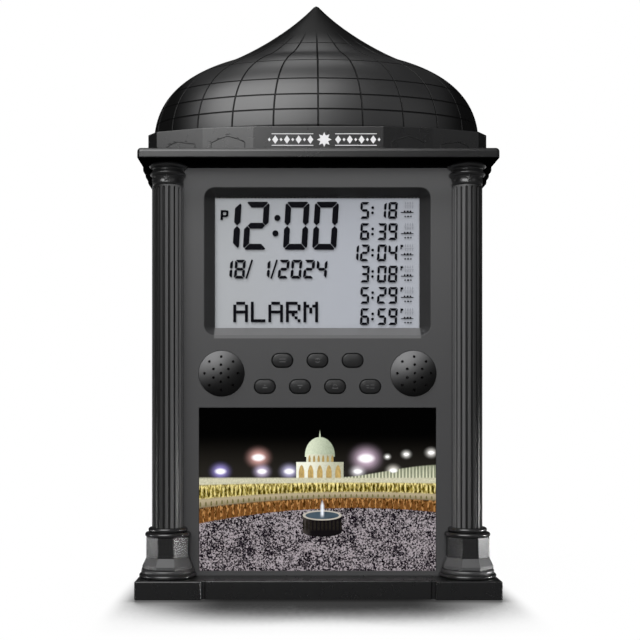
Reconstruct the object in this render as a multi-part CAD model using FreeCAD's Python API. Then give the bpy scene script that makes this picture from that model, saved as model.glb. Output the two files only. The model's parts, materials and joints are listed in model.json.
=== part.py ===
"""Mosque-shaped azan alarm clock: plinth, two fluted columns, display body, cornice, drum and ogee dome.

Frame: millimetres, +Z up, -Y is the front, origin under the middle of the base where the feet stand.
"""
import FreeCAD
import Part
import math
import os

from FreeCAD import Matrix, Rotation, Vector

# ---------------------------------------------------------------- driving sizes (mm)
# overall: the widths follow from the display outwards, the heights from the picture plate upwards
BASE_DEPTH = 92.0           # plinth, front to back
WALL = 2.4                  # moulded wall of the housings, cornice and plinth
SEAM = 0.15                 # gap between fitted mouldings
SEAT_GAP = 0.3              # gap between a loose or moving piece and its seat
CUT_OVER = 1.0              # how far a cutting shape reaches beyond what it cuts
TINY = 1e-6                 # tolerance for picking edges by their place

# feet and plinth
FOOT_HEIGHT = 0.8           # how far the feet stand proud of the plinth
FOOT_THICKNESS = 2.0
FOOT_RADIUS = 6.5
FOOT_INSET = 15.0           # foot centre from the plinth's edges
PLINTH_HEIGHT = 9.45
PLINTH_BLOCK_WIDTH = 33.4   # the block under each column
PLINTH_GROOVE = 1.7         # shadow groove beside each block
PLINTH_GROOVE_DEPTH = 3.6
PLINTH_SETBACK = 2.5        # middle of the plinth behind the blocks
PLINTH_EDGE = 0.55          # bevel along the plinth's top edges
BASE_PLATE_THICKNESS = 2.0
BASE_SCREW_INSET = 48.0     # base plate screws from the plinth's sides

# columns
COLUMN_FROM_PANEL = 7.1     # axis beyond the panel's edge
TORUS_RADIUS = 14.7
TORUS_SIDE_EDGE = 0.55      # plinth beyond the torus at the sides
TORUS_FRONT_EDGE = 1.8      # and at the front
TORUS_HEIGHT = 2.2
SCOTIA_RADIUS = 12.9
SCOTIA_HEIGHT = 2.3
SCOTIA_SAG = 0.7            # hollow of the scotia
FLARE_FLATS = 25.2          # octagon across flats where it meets the scotia
FLARE_HEIGHT = 5.9
FLARE_BAND = 1.8            # upright band at the flare's foot
PEDESTAL_FLATS = 21.4       # octagon across flats
PEDESTAL_FACE = 8.0         # width of its front face
PEDESTAL_HEIGHT = 10.3
LOWER_RING_RADIUS = 11.7
UPPER_RING_RADIUS = 10.0
PEDESTAL_RING_HEIGHT = 2.45
SHAFT_RADIUS = 7.5
FLUTE_COUNT = 16
FLUTE_RADIUS = 0.82
FLUTE_DEPTH = 0.55
FLUTE_LAND = 0.7            # plain band above the flutes
SHAFT_GAP = 0.5             # shaft to the shoulder behind it
BELL_FLARE = 0.5            # top of the bell beyond the shaft
BELL_HEIGHT = 4.7
CAPITAL_RING_RADIUS = 9.2
ABACUS_RADIUS = 9.7
CAPITAL_RING_HEIGHT = 2.6
CAPITAL_NECK_RADIUS = 8.1
CAPITAL_NECK_HEIGHT = 1.5
SPIGOT_RADIUS = 4.0
SPIGOT_LENGTH = 6.0

# body
BODY_BEYOND_COLUMN = 9.4    # body's side beyond the column's axis
PANEL_SIDE_MARGIN = 11.1    # panel beyond the display's recess at the sides
PANEL_FROM_FRONT = 19.0     # panel face behind the plinth's front
PANEL_EDGE = 0.3            # rounding of the panel's upright edges
PARTING_Y = 0.0             # plane where the front and rear housings meet
CORNER_ROUND = 3.0
LIP_HEIGHT = 2.0            # lip on the rear housing that enters the front one
LIP_THICKNESS = 1.0

# display
DISPLAY_WIDTH = 106.8       # visible glass
DISPLAY_HEIGHT = 68.2
DISPLAY_TOP_MARGIN = 11.0   # display's recess below the cornice
BEZEL_SIDE = 5.4            # run of the sloped bezel at the sides
BEZEL_TOP = 4.3             # and above and below
BEZEL_DEPTH = 6.0
BEZEL_CORNER = 5.6
BEZEL_THROAT_CORNER = 0.35
BEZEL_SILL = 0.02           # flat strip at the foot of the slope
GLASS_MARGIN = 3.6          # glass hidden behind the bezel on each side
GLASS_THICKNESS = 2.2
BACKLIGHT_THICKNESS = 3.0
BACKLIGHT_INSET = 1.0       # light guide inside the glass's ends
HOLDER_WALL = 1.6
BOARD_THICKNESS = 1.6
BOARD_GAP = 2.6             # backlight to main board
BOARD_PLAY = 1.2            # main board inside the panel's walls
BOARD_CORNER = 2.0
BOARD_RIM = 0.6             # board beyond its bosses
BOARD_SCREW_GRIP = 5.0      # length of a main board screw in its boss
KEY_SCREW_GRIP = 2.6        # and of a key board screw
BOSS_ROOT = 0.5             # how deep a boss is rooted in its wall
ZEBRA_WIDTH = 2.4

# picture plate
PICTURE_SIDE_MARGIN = 8.7   # panel beside the plate
PICTURE_HEIGHT = 84.2
PICTURE_SILL = 2.55         # panel below the plate
PICTURE_THICKNESS = 1.2
PICTURE_CORNER = 0.4
PICTURE_BACKING = 1.2       # thickening of the panel behind the plate

# loudspeakers
CONTROLS_ABOVE_PICTURE = 17.75  # middle of the speakers and keys above the plate
DISPLAY_ABOVE_CONTROLS = 19.7   # display's recess above the same middle
SPEAKER_GAP = 1.075         # well of the speaker beside the outer key's flange
CAP_RADIUS = 11.8
CAP_RISE = 6.4
CAP_WALL = 1.5
CAP_FLANGE = 1.5            # flange wider than the cap
CAP_HOLE_RADIUS = 0.7
CAP_INNER_RING = 4.4
CAP_OUTER_RING = 8.6
CAP_HOLE_COUNTS = (6, 8)    # holes in its inner and outer rings
CAP_FLANGE_THICKNESS = 0.8
DRIVER_INSET = 0.7          # driver's rim inside the cap's flange
DRIVER_DEPTH = 4.2
WELL_WALL = 1.2             # ring that locates the cap's flange and the driver
CONE_SHEET = 0.4
CONE_DEPTH = 1.89
CONE_MIDDLE_DEPTH = 1.26
BASKET_SHEET = 0.8
BASKET_RIM = 1.2
MAGNET_RADIUS = 7.0
MAGNET_DEPTH = 3.6

# keys
KEY_WIDTH = 10.8
KEY_HEIGHT = 7.1
KEY_PITCH = 18.15
KEY_ROW_RISE = 13.5         # upper row above the lower
KEY_PROUD = 1.1
KEY_CROWN = 0.83            # rounded rim of a key
KEY_TRAVEL = 0.9
KEY_GAP = 0.3               # gap round each key in its hole
KEY_FLANGE = 1.1            # flange wider than the key all round
KEY_FLANGE_THICKNESS = 0.9
KEY_BOSS_GAP = 1.3          # upper bosses of the key board beside the speaker's well
DOME_TOP_RADIUS = 2.3
DOME_FOOT_RADIUS = 3.4
DOME_REST = 1.1             # height of a dome that is pressed flat
DOME_HEIGHT = KEY_TRAVEL + DOME_REST
DOME_WALL = 0.55
MAT_THICKNESS = 0.8

# cornice
CORNICE_OVERHANG = 4.6      # cornice beyond the body's sides
CORNICE_SETBACK = 0.9       # cornice's front and back behind the plinth's
CORNICE_THICKNESS = 5.4
CORNICE_ROUND = 1.9
CORNICE_LOWER_ROUND = 0.76
BED_HEIGHT = 9.6            # moulding under the cornice's overhang at the sides and back
BED_SETBACK = 0.1           # moulding behind the cornice's edge
BED_STEP_DEPTH = 1.3        # each of its three steps
BED_BAND = 1.12             # upright edge of each step
BED_SAG = 0.325             # hollow of each step
BED_ROOT = 0.5              # how deep it is rooted in the cornice
FRONT_BED_HEIGHT = 1.3
FRONT_BED_DEPTH = 1.0
CORNICE_SKIN = 2.4          # what the hollow under the cornice leaves of its top
TONGUE_DEPTH = 1.0          # tongue of the drum in the cornice's groove

# base moulding at the foot of the body
FOOT_MOULD_EDGE = 0.65      # plinth beyond the moulding
FOOT_MOULD_HEIGHT = 3.8     # lower step
FOOT_MOULD_EASE = 0.77      # rounded edge of the lower step
FOOT_LEDGE = 2.2            # setback of the upper step
FOOT_BAND_HEIGHT = 1.9      # upper step
FOOT_COVE_HEIGHT = 2.9      # hollow curve that dies into the body
FOOT_COVE_LIP = 0.6
FOOT_COVE_SAG = 0.64
QUARTER_SAG = 0.29          # bow of a quarter round as a share of its radius

# drum
DRUM_HEIGHT = 11.4
DRUM_FRONT_INSET = 3.4      # drum face behind the cornice's front
DRUM_SIDE_INSET = 3.0       # and its ends inside the cornice's
DRUM_FACE_WIDTH = 25.8      # width of the two faces beside the middle one
DRUM_FACE_ANGLES = (7.0, 19.0)   # their turn from the front, in degrees
DRUM_CHAMFER = 9.0
DRUM_CHAMFER_ANGLE = 55.0
DRUM_EDGE = 0.4             # rounding of its top edges

# dome
DOME_SIDE_INSET = 0.4       # dome's foot inside the drum's ends
DOME_FRONT_INSET = 1.5      # and behind the drum's front
DOME_RISE = 75.2            # foot to tip
DOME_TURN_RADIUS = 48.8     # distance from the axis where the bulge turns into the hollow sweep
DOME_TURN_HEIGHT = 43.3
DOME_TURN_SLOPE = 17.0      # slope there, in degrees
DOME_TIP_RADIUS = 1.2
DOME_TIP_SLOPE = 46.4
BULGE_FOOT_PULL = 26.0      # how far the curve runs upright from the foot
BULGE_TURN_PULL = 20.0      # and along the slope below the turn
SWEEP_TURN_PULL = 4.5      # and along the slope above it
SWEEP_TIP_PULL = 24.3
DOME_SHELL = 2.2
DOME_RIM_DROP = 3.0
DOME_RIM_WALL = 1.6

# battery bay and door (three R6 cells side by side)
CELL_LENGTH = 50.5
CELL_DIAMETER = 14.5
CELL_COUNT = 3
CELL_PLAY = 0.7
CONTACT_ROOM = 2.4          # room for a contact at each end of the cells
CONTACT_SHEET = 0.4
LEAF_HALF = 4.0             # half length of a leaf contact
LEAF_WIDTH = 5.0
LEAF_BOW = 1.8
PLATE_HALF = 4.5            # half size of a flat contact
PLATE_BUTTON_RADIUS = 2.0
PLATE_BUTTON_TOP = 1.4
PLATE_BUTTON_RISE = 0.7
BAY_CENTRE_HEIGHT = 60.0    # above the plinth's top
BAY_WALL = 1.8
DOOR_THICKNESS = 2.4
DOOR_MARGIN = 2.6           # door wider than the bay on each side
DOOR_FRAME = 4.2            # thick frame round the door
HINGE_PIN_RADIUS = 0.9
HINGE_PIN_LENGTH = 2.2
PIN_CLEARANCE = 0.08
SCOOP_RADIUS = 9.0
GRIP_COUNT = 4              # finger grooves near the door's lower edge
GRIP_FROM_EDGE = 3.0
GRIP_PITCH = 2.2
GRIP_WIDTH = 1.0
GRIP_DEPTH = 0.6
GRIP_HALF_LENGTH = 8.0
GRIP_TAPER = 1.0            # each groove shorter than the one below

# parts on the main board
BLOB_RADIUS = 11.5          # sealed processor
BLOB_RISE = 2.5
BLOB_ABOVE = 6.0            # above the display's middle
CHIP_WIDTH, CHIP_HEIGHT, CHIP_RISE = 10.0, 12.0, 1.6
CHIP_X = 29.0
AMPLIFIER_WIDTH, AMPLIFIER_HEIGHT, AMPLIFIER_RISE = 6.0, 5.0, 1.4
AMPLIFIER_X = -33.0
AMPLIFIER_BELOW = 9.5
CRYSTAL_HALF_WIDTH, CRYSTAL_HALF_HEIGHT, CRYSTAL_RISE = 5.2, 2.2, 3.5
CRYSTAL_X = -20.0
CRYSTAL_BELOW = 18.0
CAPACITOR_COUNT = 3
CAPACITOR_RADIUS, CAPACITOR_RISE, CAPACITOR_PITCH = 3.0, 6.5, 9.0
CAPACITOR_X = 18.0
CAPACITOR_BELOW = 20.0

# fasteners
SCREW_RADIUS = 1.4
SCREW_HEAD_RADIUS = 2.8
SCREW_HEAD_HEIGHT = 2.0
SMALL_SCREW_RADIUS = 1.0
SMALL_HEAD_RADIUS = 1.9
SMALL_HEAD_HEIGHT = 1.3
SCREW_PLAY = 0.05
POST_INSET = 9.5            # housing screw posts from the body's sides
POST_END_INSET = 12.0       # and from its top and bottom
POST_WALL = 1.6             # wall round a counterbore
COUNTERBORE_PLAY = 1.0      # counterbore wider than the screw's head
COUNTERBORE_DEPTH = 24.0
SCREW_GRIP = 9.0            # length held in the front boss
BOSS_RADIUS = 2.3
JOINING_SCREW_INSET = 25.4      # body screws and cornice screws from the body's sides
JOINING_SCREW_SPREAD = 20.0     # and front to back
JOINING_SCREW_GRIP = 5.0        # length held beyond the two walls
SCREW_TIP_GAP = 0.5             # hole deeper than its screw
PAN_ROUND = 0.45                # rounding of a pan head as a share of its height
CROSS_WIDTH = 0.3               # recess of a screw head as shares of the head
CROSS_SPAN = 0.62
CROSS_FLOOR = 0.6

# ---------------------------------------------------------------- places that follow from them
# side to side
PANEL_HALF = DISPLAY_WIDTH / 2 + BEZEL_SIDE + PANEL_SIDE_MARGIN
COLUMN_X = PANEL_HALF + COLUMN_FROM_PANEL
BODY_HALF = COLUMN_X + BODY_BEYOND_COLUMN
BASE_HALF = COLUMN_X + TORUS_RADIUS + TORUS_SIDE_EDGE
CORNICE_HALF = BODY_HALF + CORNICE_OVERHANG
DRUM_HALF = CORNICE_HALF - DRUM_SIDE_INSET
DOME_HALF = DRUM_HALF - DOME_SIDE_INSET
PICTURE_WIDTH = 2 * (PANEL_HALF - PICTURE_SIDE_MARGIN)
WELL_RADIUS = CAP_RADIUS + CAP_FLANGE + SEAT_GAP
DRIVER_RADIUS = CAP_RADIUS + CAP_FLANGE - DRIVER_INSET
KEYS_HALF = 1.5 * KEY_PITCH + KEY_WIDTH / 2 + KEY_FLANGE
SPEAKER_X = KEYS_HALF + SPEAKER_GAP + WELL_WALL + WELL_RADIUS

# upwards
PLINTH_TOP = FOOT_HEIGHT + PLINTH_HEIGHT
PICTURE_Z = PLINTH_TOP + PICTURE_SILL + PICTURE_HEIGHT / 2
CONTROL_Z = PICTURE_Z + PICTURE_HEIGHT / 2 + CONTROLS_ABOVE_PICTURE
DISPLAY_Z = CONTROL_Z + DISPLAY_ABOVE_CONTROLS + BEZEL_TOP + DISPLAY_HEIGHT / 2
CORNICE_BOTTOM = DISPLAY_Z + DISPLAY_HEIGHT / 2 + BEZEL_TOP + DISPLAY_TOP_MARGIN
CORNICE_TOP = CORNICE_BOTTOM + CORNICE_THICKNESS
DRUM_TOP = CORNICE_TOP + DRUM_HEIGHT
BAY_Z = PLINTH_TOP + BAY_CENTRE_HEIGHT
PEDESTAL_TOP = (PLINTH_TOP + TORUS_HEIGHT + SCOTIA_HEIGHT + FLARE_HEIGHT + PEDESTAL_HEIGHT
                + 2 * PEDESTAL_RING_HEIGHT)
CAPITAL_HEIGHT = BELL_HEIGHT + 2 * CAPITAL_RING_HEIGHT + CAPITAL_NECK_HEIGHT
SHAFT_TOP = CORNICE_BOTTOM - CAPITAL_HEIGHT
BELL_RADIUS = SHAFT_RADIUS + BELL_FLARE

# front to back
BASE_FRONT = -BASE_DEPTH / 2
BASE_BACK = BASE_DEPTH / 2
COLUMN_Y = BASE_FRONT + TORUS_RADIUS + TORUS_FRONT_EDGE
PANEL_FACE = BASE_FRONT + PANEL_FROM_FRONT
PANEL_INSIDE = PANEL_FACE + WALL
SHOULDER_FACE = COLUMN_Y + SHAFT_RADIUS + SHAFT_GAP
FOOT_MOULD_DEPTH = BASE_HALF - BODY_HALF - FOOT_MOULD_EDGE
BODY_BACK = BASE_BACK - FOOT_MOULD_DEPTH - FOOT_MOULD_EDGE
CORNICE_HALF_DEPTH = BASE_DEPTH / 2 - CORNICE_SETBACK
DRUM_HALF_DEPTH = CORNICE_HALF_DEPTH - DRUM_FRONT_INSET
DOME_HALF_DEPTH = DRUM_HALF_DEPTH - DOME_FRONT_INSET
BED_DEPTH = CORNICE_OVERHANG - BED_SETBACK
GLASS_FRONT = PANEL_FACE + BEZEL_DEPTH
GLASS_BACK = GLASS_FRONT + GLASS_THICKNESS
BACKLIGHT_BACK = GLASS_BACK + BACKLIGHT_THICKNESS
MAIN_BOARD_FRONT = BACKLIGHT_BACK + BOARD_GAP
KEY_FLANGE_FRONT = PANEL_INSIDE + SEAT_GAP
KEY_FLANGE_BACK = KEY_FLANGE_FRONT + KEY_FLANGE_THICKNESS
MAT_FRONT = KEY_FLANGE_BACK + SEAT_GAP + DOME_HEIGHT
KEY_BOARD_FRONT = MAT_FRONT + MAT_THICKNESS
CONE_FRONT = PANEL_INSIDE + CAP_FLANGE_THICKNESS
BAY_HALF_LENGTH = CELL_LENGTH / 2 + CONTACT_ROOM
BAY_HALF_HEIGHT = (CELL_COUNT * CELL_DIAMETER + (CELL_COUNT + 1) * CELL_PLAY) / 2
BAY_FLOOR = BODY_BACK - DOOR_THICKNESS - SEAT_GAP - CELL_DIAMETER - CELL_PLAY
DOOR_HALF_WIDTH = BAY_HALF_LENGTH + DOOR_MARGIN
DOOR_HALF_HEIGHT = BAY_HALF_HEIGHT + DOOR_MARGIN
HINGE_Y = BODY_BACK - DOOR_THICKNESS / 2
HINGE_Z = BAY_Z + DOOR_HALF_HEIGHT - DOOR_THICKNESS / 2

# fasteners
BOSS_OUTER = BOSS_RADIUS + SCREW_RADIUS
SCREW_HOLE = SCREW_RADIUS + SCREW_PLAY
SMALL_HOLE = SMALL_SCREW_RADIUS + SCREW_PLAY
COUNTERBORE_RADIUS = SCREW_HEAD_RADIUS + COUNTERBORE_PLAY
POST_RADIUS = COUNTERBORE_RADIUS + POST_WALL

X_AXIS, Y_AXIS, Z_AXIS = Vector(1, 0, 0), Vector(0, 1, 0), Vector(0, 0, 1)


# ---------------------------------------------------------------- shape helpers
def box(x0, x1, y0, y1, z0, z1):
    """A box between two corners."""
    return Part.makeBox(x1 - x0, y1 - y0, z1 - z0, Vector(x0, y0, z0))


def rod(radius, y0, y1, x, z):
    """A cylinder that runs front to back."""
    return Part.makeCylinder(radius, y1 - y0, Vector(x, y0, z), Y_AXIS)


def post(radius, x, y, z0, z1):
    """An upright cylinder."""
    return Part.makeCylinder(radius, z1 - z0, Vector(x, y, z0))


def turned(wires, centre, axis=Z_AXIS):
    """A closed outline of edges spun round an axis."""
    return Part.Face(Part.Wire(wires)).revolve(centre, axis, 360)


def ring_bar(radius, z0, height):
    """A disc with a half-round rim on the column's axis."""
    bulge = height / 2
    low, high = Vector(COLUMN_X, COLUMN_Y, z0), Vector(COLUMN_X, COLUMN_Y, z0 + height)
    reach = Vector(radius - bulge, 0, 0)
    middle = Vector(COLUMN_X + radius, COLUMN_Y, z0 + bulge)
    rim = Part.Arc(low + reach, middle, high + reach).toShape()
    edges = [Part.makeLine(low, low + reach), rim,
             Part.makeLine(high + reach, high), Part.makeLine(high, low)]
    return turned(edges, low)


def fused(first, *others):
    """One clean solid out of several that touch or overlap."""
    return first.fuse(list(others)).removeSplitter()


def rounded_plate(half_x, half_z, radius, y0, y1, centre_z, centre_x=0.0):
    """A plate facing the front, with its four corners rounded."""
    plate = box(centre_x - half_x, centre_x + half_x, y0, y1, centre_z - half_z, centre_z + half_z)
    corners = [e for e in plate.Edges if abs(e.tangentAt(e.FirstParameter).y) > 0.99]
    return plate.makeFillet(radius, corners)


def oval(half_x, half_z, y0, y1, x, z):
    """A stadium-shaped bar that runs front to back."""
    straight = half_x - half_z
    middle = box(x - straight, x + straight, y0, y1, z - half_z, z + half_z)
    return fused(middle, rod(half_z, y0, y1, x - straight, z), rod(half_z, y0, y1, x + straight, z))


def outline(start, *runs):
    """A closed outline in the XZ plane from a start and runs (x, z) or (x, z, sag), where sag bows a run.

    A positive sag bows the run to the right of its direction of travel.
    """
    edges, here = [], Vector(start[0], 0, start[1])
    for run in list(runs) + [start]:
        there = Vector(run[0], 0, run[1])
        if len(run) == 3:
            along = (there - here).normalize()
            middle = (here + there) * 0.5 + Vector(along.z, 0, -along.x) * run[2]
            edges.append(Part.Arc(here, middle, there).toShape())
        else:
            edges.append(Part.makeLine(here, there))
        here = there
    return Part.Wire(edges)


def edges_at(shape, test):
    """The edges whose two ends both pass a test on their position."""
    return [e for e in shape.Edges if all(test(v.Point) for v in e.Vertexes)]


def straight_along(edge, axis):
    """Whether an edge is a straight line along an axis."""
    return isinstance(edge.Curve, Part.Line) and abs(edge.tangentAt(edge.FirstParameter).dot(axis)) > 0.99


def uprights_at(shape, y):
    """The upright edges of a shape in the plane at y."""
    return [e for e in shape.Edges if straight_along(e, Z_AXIS) and abs(e.Vertexes[0].Y - y) < TINY]


def screw(tip, direction, length, radius, head_radius, head_height):
    """A pan-head screw: tip of the shank, direction towards the head, shank length."""
    shank = Part.makeCylinder(radius, length, tip, direction)
    seat = tip + direction * length
    head = Part.makeCylinder(head_radius, head_height, seat, direction)
    rim = [e for e in head.Edges if isinstance(e.Curve, Part.Circle)
           and (e.Curve.Center - seat).dot(direction) > head_height / 2]
    head = head.makeFillet(head_height * PAN_ROUND, rim)
    half_slot = head_radius * CROSS_WIDTH / 2
    floor = head_height * CROSS_FLOOR
    slot = box(-head_radius, head_radius, -half_slot, half_slot, floor, head_height + CUT_OVER)
    cross = slot.fuse(slot.rotated(Vector(), Z_AXIS, 90))
    cross = cross.common(Part.makeCylinder(head_radius * CROSS_SPAN, head_height + CUT_OVER))
    cross.Placement = FreeCAD.Placement(seat, Rotation(Z_AXIS, direction))
    return shank.fuse(head).removeSplitter().cut(cross)


def mirrored_x(shape):
    """The same shape on the other side of the middle plane."""
    return shape.mirror(Vector(), X_AXIS)


# ---------------------------------------------------------------- feet, base plate and plinth
def foot_places():
    """Centres of the four feet."""
    x, y = BASE_HALF - FOOT_INSET, BASE_BACK - FOOT_INSET
    return [(sx * x, sy * y) for sx in (-1, 1) for sy in (-1, 1)]


def rubber_feet():
    """Four round pads that the clock stands on."""
    pads = []
    for x, y in foot_places():
        pad = post(FOOT_RADIUS, x, y, 0, FOOT_THICKNESS)
        lower_rim = [e for e in pad.Edges
                     if isinstance(e.Curve, Part.Circle) and e.Curve.Center.z < FOOT_HEIGHT]
        pads.append(pad.makeChamfer(FOOT_HEIGHT / 2, lower_rim))
    return Part.makeCompound(pads)


def base_screw_places():
    """Screws that hold the base plate, inboard of the feet."""
    x, y = BASE_HALF - BASE_SCREW_INSET, BASE_BACK - FOOT_INSET
    return [(sx * x, sy * y) for sx in (-1, 1) for sy in (-1, 1)]


def base_plate():
    """Flat cover under the plinth, with pockets for the feet and screw holes."""
    half, back = BASE_HALF - WALL - SEAM, BASE_BACK - WALL - SEAM
    front = BASE_FRONT + PLINTH_GROOVE_DEPTH + WALL + SEAM
    plate = box(-half, half, front, back, FOOT_HEIGHT, FOOT_HEIGHT + BASE_PLATE_THICKNESS)
    for x, y in foot_places():
        plate = plate.cut(post(FOOT_RADIUS + SEAM, x, y, 0, FOOT_THICKNESS))
    for x, y in base_screw_places():
        plate = plate.cut(post(SCREW_HOLE, x, y, 0, PLINTH_TOP))
    return plate


def plinth():
    """Hollow plinth: a block under each column, the middle set back behind shadow grooves."""
    half = BASE_HALF
    body = box(-half, half, BASE_FRONT, BASE_BACK, FOOT_HEIGHT, PLINTH_TOP)
    inner = half - PLINTH_BLOCK_WIDTH
    before = BASE_FRONT - CUT_OVER
    body = body.cut(box(-inner, inner, before, BASE_FRONT + PLINTH_SETBACK, 0, PLINTH_TOP + CUT_OVER))
    for side in (-1, 1):
        x0, x1 = sorted((side * inner, side * (inner - PLINTH_GROOVE)))
        body = body.cut(box(x0, x1, before, BASE_FRONT + PLINTH_GROOVE_DEPTH, 0, PLINTH_TOP + CUT_OVER))
    reach = BASE_FRONT + PLINTH_SETBACK + TINY
    uprights = [e for e in body.Edges if straight_along(e, Z_AXIS)
                and (e.Vertexes[0].Y < reach or e.Vertexes[0].Y > BASE_BACK - TINY)]
    body = body.makeChamfer(PLINTH_EDGE, uprights)
    body = body.makeChamfer(PLINTH_EDGE, edges_at(body, lambda p: abs(p.z - PLINTH_TOP) < TINY))
    front = BASE_FRONT + PLINTH_GROOVE_DEPTH + WALL
    hollow = box(-half + WALL, half - WALL, front, BASE_BACK - WALL, 0, PLINTH_TOP - WALL)
    body = body.cut(hollow)
    low, high = FOOT_HEIGHT + BASE_PLATE_THICKNESS, PLINTH_TOP - WALL / 2
    pillars = [post(FOOT_RADIUS, x, y, low, high) for x, y in foot_places()]
    pillars += [post(BOSS_OUTER, x, y, low, high) for x, y in base_screw_places()]
    holes = [post(SCREW_HOLE, x, y, 0, PLINTH_TOP - WALL) for x, y in base_screw_places()]
    holes += [post(SCREW_HOLE, x, y, PLINTH_TOP - 2 * WALL, PLINTH_TOP + CUT_OVER)
              for x, y in joining_screw_places()]
    return body.fuse(pillars).cut(holes).removeSplitter()


def base_screws():
    """Screws from below through the base plate into the plinth's pillars."""
    length = PLINTH_TOP - WALL - FOOT_HEIGHT - 2 * SCREW_TIP_GAP
    made = []
    for x, y in base_screw_places():
        tip = Vector(x, y, FOOT_HEIGHT + length)
        head_height = min(SMALL_HEAD_HEIGHT, FOOT_HEIGHT * 0.75)
        made.append(screw(tip, -Z_AXIS, length, SCREW_RADIUS, SCREW_HEAD_RADIUS, head_height))
    return Part.makeCompound(made)


# ---------------------------------------------------------------- columns, built for the +X side
def octagon(flats, face, z):
    """Octagon round the column's axis: across flats, and the width of its straight faces."""
    h, f = flats / 2, face / 2
    corners = [(f, -h), (h, -f), (h, f), (f, h), (-f, h), (-h, f), (-h, -f), (-f, -h)]
    points = [Vector(COLUMN_X + x, COLUMN_Y + y, z) for x, y in corners]
    return Part.makePolygon(points + [points[0]])


def column_backing(z0, z1):
    """What a column stands against: the panel's edge and the shoulder plane behind it."""
    panel = box(0, PANEL_HALF + SEAM, PANEL_FACE - SEAM, PARTING_Y, z0, z1)
    shoulder = box(0, BASE_HALF, SHOULDER_FACE - SEAM, PARTING_Y, z0, z1)
    return panel.fuse(shoulder)


def column_pedestal():
    """Octagonal pedestal on a torus and scotia, with two rings that carry the shaft."""
    z = PLINTH_TOP
    torus = ring_bar(TORUS_RADIUS, z, TORUS_HEIGHT)
    z += TORUS_HEIGHT
    low, high = Vector(COLUMN_X, COLUMN_Y, z), Vector(COLUMN_X, COLUMN_Y, z + SCOTIA_HEIGHT)
    foot, neck = low + Vector(TORUS_RADIUS - TORUS_HEIGHT / 2, 0, 0), high + Vector(SCOTIA_RADIUS, 0, 0)
    waist = Vector(min(foot.x, neck.x) - SCOTIA_SAG, COLUMN_Y, (low.z + high.z) / 2)
    scotia = turned([Part.makeLine(low, foot), Part.Arc(foot, waist, neck).toShape(),
                     Part.makeLine(neck, high), Part.makeLine(high, low)], low)
    z += SCOTIA_HEIGHT
    face_share = PEDESTAL_FACE / PEDESTAL_FLATS
    wires = [octagon(flats, flats * face_share, z + rise) for flats, rise in
             ((FLARE_FLATS, 0), (FLARE_FLATS, FLARE_BAND), (PEDESTAL_FLATS, FLARE_HEIGHT))]
    flare = Part.makeLoft(wires, True, True)
    z += FLARE_HEIGHT
    drum = Part.Face(octagon(PEDESTAL_FLATS, PEDESTAL_FACE, z)).extrude(Vector(0, 0, PEDESTAL_HEIGHT))
    z += PEDESTAL_HEIGHT
    lower = ring_bar(LOWER_RING_RADIUS, z, PEDESTAL_RING_HEIGHT)
    z += PEDESTAL_RING_HEIGHT
    upper = ring_bar(UPPER_RING_RADIUS, z, PEDESTAL_RING_HEIGHT)
    body = fused(torus, scotia, flare, drum, lower, upper)
    socket = post(SPIGOT_RADIUS + SEAM, COLUMN_X, COLUMN_Y,
                  PEDESTAL_TOP - SPIGOT_LENGTH - SEAM, PEDESTAL_TOP + CUT_OVER)
    return body.cut([socket, column_backing(PLINTH_TOP - CUT_OVER, PEDESTAL_TOP + CUT_OVER)])


def column_shaft():
    """Fluted shaft, its flutes stopped below the capital, with a spigot at each end."""
    shaft = post(SHAFT_RADIUS, COLUMN_X, COLUMN_Y, PEDESTAL_TOP, SHAFT_TOP)
    stop = SHAFT_TOP - FLUTE_RADIUS - FLUTE_LAND
    axis_distance = SHAFT_RADIUS + FLUTE_RADIUS - FLUTE_DEPTH
    cutters = []
    for n in range(FLUTE_COUNT):
        angle = math.radians((n + 0.5) * 360 / FLUTE_COUNT)
        x = COLUMN_X + axis_distance * math.sin(angle)
        y = COLUMN_Y - axis_distance * math.cos(angle)
        cutters.append(post(FLUTE_RADIUS, x, y, PEDESTAL_TOP - CUT_OVER, stop))
        cutters.append(Part.makeSphere(FLUTE_RADIUS, Vector(x, y, stop)))
    shaft = shaft.cut(cutters)
    low = post(SPIGOT_RADIUS, COLUMN_X, COLUMN_Y, PEDESTAL_TOP - SPIGOT_LENGTH, PEDESTAL_TOP)
    high = post(SPIGOT_RADIUS, COLUMN_X, COLUMN_Y, SHAFT_TOP, SHAFT_TOP + SPIGOT_LENGTH)
    return shaft.fuse([low, high]).removeSplitter()


def column_capital():
    """Bell-shaped capital with two rings under the cornice."""
    low, high = Vector(COLUMN_X, COLUMN_Y, SHAFT_TOP), Vector(COLUMN_X, COLUMN_Y, SHAFT_TOP + BELL_HEIGHT)
    foot, lip = low + Vector(SHAFT_RADIUS, 0, 0), high + Vector(BELL_RADIUS, 0, 0)
    waist = Vector(foot.x + BELL_FLARE / 5, COLUMN_Y, (low.z + high.z) / 2)
    bell = turned([Part.makeLine(low, foot), Part.Arc(foot, waist, lip).toShape(),
                   Part.makeLine(lip, high), Part.makeLine(high, low)], low)
    ring = ring_bar(CAPITAL_RING_RADIUS, high.z, CAPITAL_RING_HEIGHT)
    z = high.z + CAPITAL_RING_HEIGHT
    neck = post(CAPITAL_NECK_RADIUS, COLUMN_X, COLUMN_Y, z, z + CAPITAL_NECK_HEIGHT)
    abacus = ring_bar(ABACUS_RADIUS, z + CAPITAL_NECK_HEIGHT, CAPITAL_RING_HEIGHT)
    body = fused(bell, ring, neck, abacus)
    socket = post(SPIGOT_RADIUS + SEAM, COLUMN_X, COLUMN_Y,
                  SHAFT_TOP - CUT_OVER, SHAFT_TOP + SPIGOT_LENGTH + SEAM)
    return body.cut([socket, column_backing(SHAFT_TOP - CUT_OVER, CORNICE_BOTTOM + CUT_OVER)])


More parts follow.
